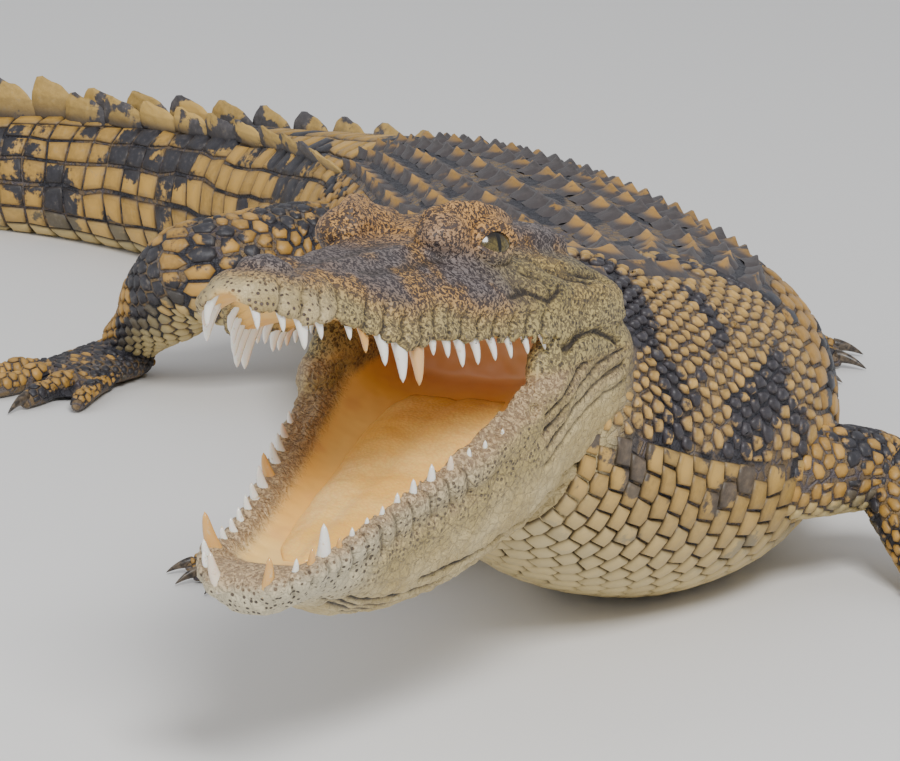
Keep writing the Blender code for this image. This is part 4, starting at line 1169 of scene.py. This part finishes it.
flanks, necks = [], []
for i, sides in enumerate(((-10, 50), (130, 190))):
    flanks.append(field(body_surface, (TRUNK_START, HIPS), degrees(*sides), 30, 8, 0.140, gap=0.0018,
                        slope=0.0022, seed=21 + i, blotch=22.0, point=0.07))
for i, sides in enumerate(((-4, 62), (118, 184))):
    necks.append(field(body_surface, (0.275, TRUNK_START), degrees(*sides), 23, 13, 0.115, gap=0.0018,
                       slope=0.0015, uneven=0.17, seed=23 + i, blotch=22.0))
necks.append(field(body_surface, (0.30, TRUNK_START), degrees(62, 118), 20, 11, 0.095, gap=0.0018, seed=25,
                   slope=0.0015, uneven=0.17, keep=clear_of_plates, blotch=22.0))
bellies = [
    field(body_surface, (TRUNK_START, HIPS), degrees(190, 350), 30, 18, 0.300, gap=0.0009, uneven=0.05,
          point=0.03, seed=26),
    field(body_surface, (0.262, TRUNK_START), degrees(184, 356), 16, 16, 0.270, gap=0.0009, uneven=0.09,
          point=0.05, seed=27),
]
join_coat("flank_scales", flanks, scale_finish("flank_horn", OCHRE, (0.018, 0.019, 0.026), 0.10, pale=CREAM))
join_coat("neck_studs", necks, scale_finish("neck_horn", (0.52, 0.31, 0.080), (0.030, 0.027, 0.033), 0.15,
                                            seam=(0.085, 0.075, 0.082), pale=CREAM))
join_coat("belly_tiles", bellies, scale_finish("belly_horn", (0.46, 0.28, 0.070), (0.085, 0.062, 0.042), 0.16,
                                               (0.28, 0.19, 0.08), (0.10, 0.075, 0.045), (0.70, 0.56, 0.28)),
          "belly_hide")

# ---- The tail -----------------------------------------------------------------------------------------
# Rings of oblong plates round the tail, and the upright flaps of its crest: two rows at the root
# that run together into one.

rings = []
for start, end, rows, columns, girth, seed in (
        (HIPS, 1.24, 10, 18, 0.36, 31), (1.24, 1.50, 12, 16, 0.27, 32),
        (1.50, 1.76, 14, 12, 0.19, 33), (1.76, 1.985, 16, 9, 0.10, 34)):
    rings.append(field(body_surface, (start, end), (0, TAU), rows, columns, girth, uneven=0.11, gap=0.0013,
                       brick=False, seed=seed, depth=0.0030, slope=0.0024, blotch=26.0))
join_coat("tail_rings", rings, scale_finish("tail_horn", (0.52, 0.30, 0.062), (0.022, 0.021, 0.026), 0.08,
                                            seam=(0.060, 0.050, 0.046), pale=CREAM))

FIRST_WHORL, DOUBLE_END, LAST_WHORL = 1.02, 1.46, 1.985
FIRST_STEP, LAST_STEP = 0.052, 0.018
ROOM = 0.047  # no flap stands further from the middle than this
crest = bmesh.new()
crest_marks, at = [], FIRST_WHORL  # for each point: tone, patch, height, and the two places on the map
rng = np.random.default_rng(5)
while at < LAST_WHORL:
    share = (at - FIRST_WHORL) / (LAST_WHORL - FIRST_WHORL)
    step = FIRST_STEP + (LAST_STEP - FIRST_STEP) * share
    half, top, middle = read_keys(TRUNK, at)[:3]
    double = (at - FIRST_WHORL) / (DOUBLE_END - FIRST_WHORL)
    if double < 1:
        rise, places = 0.008 + 0.012 * double, (half * (0.62 - 0.40 * double), -half * (0.62 - 0.40 * double))
    else:
        rise, places = 0.028 - 0.015 * (at - DOUBLE_END) / (LAST_WHORL - DOUBLE_END), (0.0,)
    for aside in places:
        root = top - (top - middle) * (1 - math.sqrt(max(0.0, 1 - (aside / half) ** 2)))
        length = 0.66 * step

        def flap(t, turn):
            profile = np.maximum(1 - t**1.7, 0) ** 0.62 + 0.002
            side = np.abs(np.sin(turn))
            thick = (0.0034 * (1 - t) + 0.0008) * (0.25 + 0.75 * side**0.6)
            along = at + length * (profile * np.cos(turn) + 0.62 * t**1.6)
            sideways = aside * (1 + 0.21 * t) + thick * np.sign(np.sin(turn)) * side**0.8
            furrow = 1 + 0.05 * np.sin(9 * np.cos(turn) * profile)
            height = root - 0.004 + (rise + 0.003) * t * furrow
            return body_point(along, sideways, np.maximum(root * 0.5, height))

        before, shade = len(crest.verts), rng.uniform()
        add_loft(crest, flap, (0, 1), 14, 32)
        crest.verts.ensure_lookup_table()
        added = [crest.verts[i].co.copy() for i in range(before, len(crest.verts))]
        low, high = min(p.z for p in added), max(p.z for p in added)
        reach = max(abs(p.x - added[0].x) for p in added) + abs(aside)
        for p in added:
            height = (p.z - low) / (high - low)
            crest_marks.append((shade, noise.fractal(p * 26, 0.8, 2.0, 3), height,
                                0.03 + 0.94 * share + 0.003 * (0.5 + 0.5 * (p.x - added[0].x) / reach),
                                0.5 + 0.45 * aside / ROOM + 0.003 * height))
    at += step
for vert in crest.verts:
    vert.co += vert.normal * 0.0009 * noise.noise(vert.co * 260)
bmesh.ops.recalc_face_normals(crest, faces=crest.faces)
crest = add_object(crest, "crest_flaps")
tone, patch, height, map_u, map_v = np.array(crest_marks).T
mark(crest.data, "tone", tone)
mark(crest.data, "patch", patch + 0.10 * height)
# the finish darkens each flap towards its root: painted shade below about half its height, and its seam
# colour near the root
mark(crest.data, "rise", np.clip(1.5 * height + 0.10, 0, 1))
corner = np.empty(len(crest.data.loops), np.int32)
crest.data.loops.foreach_get("vertex_index", corner)
layer = crest.data.uv_layers.new(name="OFBake")
layer.data.foreach_set("uv", np.stack([map_u, map_v], 1)[corner].astype(np.float32).ravel())
crest_horn = scale_finish("crest_horn", (0.52, 0.33, 0.085), (0.060, 0.054, 0.056), 0.06)
crest.data.materials.append(crest_horn.material)
seat(crest, "hide")

# ---- The legs -----------------------------------------------------------------------------------------
# Overlapping scales round each limb, smaller towards the foot, and plates across the top of each toe.


def stretched(surface, length):
    """The same surface, with its way along it counted as a length."""
    return lambda along, turn: surface(np.clip(along / length, 0, 1), turn)


limb_coats = []
for i, name in enumerate(LIMBS):
    leg = name.startswith("leg")
    limb_coats.append(field(
        stretched(limb_lines[name], 0.2), (0.02, 0.199), (0, TAU), 24 if leg else 20, 18 if leg else 15,
        0.200 if leg else 0.125, depth=0.0014, rise=0.0017, uneven=0.12, gap=0.0010, slope=0.0012,
        seed=40 + i))
    limb_coats.append(field(
        stretched(palm_lines[name], 0.05), (0.001, 0.049), degrees(-20, 200), 12 if leg else 10,
        10 if leg else 9, 0.070 if leg else 0.052, depth=0.0010, rise=0.0012, uneven=0.12, gap=0.0009,
        slope=0.0010, seed=50 + i))
for i, (_, toe, (start, ahead, reach, radius)) in enumerate(toe_lines):
    limb_coats.append(field(
        stretched(toe, reach), (0.10 * reach, 0.92 * reach), degrees(-10, 190), 10, 3, radius * 3.2,
        depth=0.0008, rise=0.0009, uneven=0.06, gap=0.0006, slope=0.0007, seed=60 + i))
join_coat("leg_scales", limb_coats, scale_finish("leg_horn", (0.47, 0.26, 0.055), (0.024, 0.023, 0.028), 0.03,
                                                 pale=CREAM))

# ---- The studio ---------------------------------------------------------------------------------------
# A pale floor, a soft key light and a wide fill.

floor = bmesh.new()
bmesh.ops.create_grid(floor, x_segments=1, y_segments=1, size=12)
floor = add_object(floor, "floor")
paper = Finish("studio_floor", {"Roughness": 0.8, "Base Color": (0.80, 0.79, 0.77)})
floor.data.materials.append(paper.material)

camera_data = bpy.data.cameras.new("camera")
camera_data.lens = 238.5
camera_data.sensor_width = 36
camera_data.clip_end = 50
camera = bpy.data.objects.new("camera", camera_data)
camera.location = (1.921, -3.004, 0.925)
camera.rotation_euler = (math.radians(76), 0, math.radians(28))
bpy.context.scene.collection.objects.link(camera)
bpy.context.scene.camera = camera
world = bpy.data.worlds.new("studio")
world.use_nodes = True
background = world.node_tree.nodes["Background"].inputs
background["Color"].default_value = (0.80, 0.82, 0.86, 1)
background["Strength"].default_value = 0.75
bpy.context.scene.world = world
LIT_PLACE = Vector((0.3, -0.2, 0.1))
for name, place, size, power in (("key", (2.2, -2.2, 2.8), 1.2, 135), ("fill", (-1.8, -2.6, 1.6), 2.4, 26)):
    light_data = bpy.data.lights.new(name, "AREA")
    light_data.size = size
    light_data.energy = power
    light = bpy.data.objects.new(name, light_data)
    light.location = place
    light.rotation_euler = (LIT_PLACE - Vector(place)).to_track_quat("-Z", "Y").to_euler()
    bpy.context.scene.collection.objects.link(light)
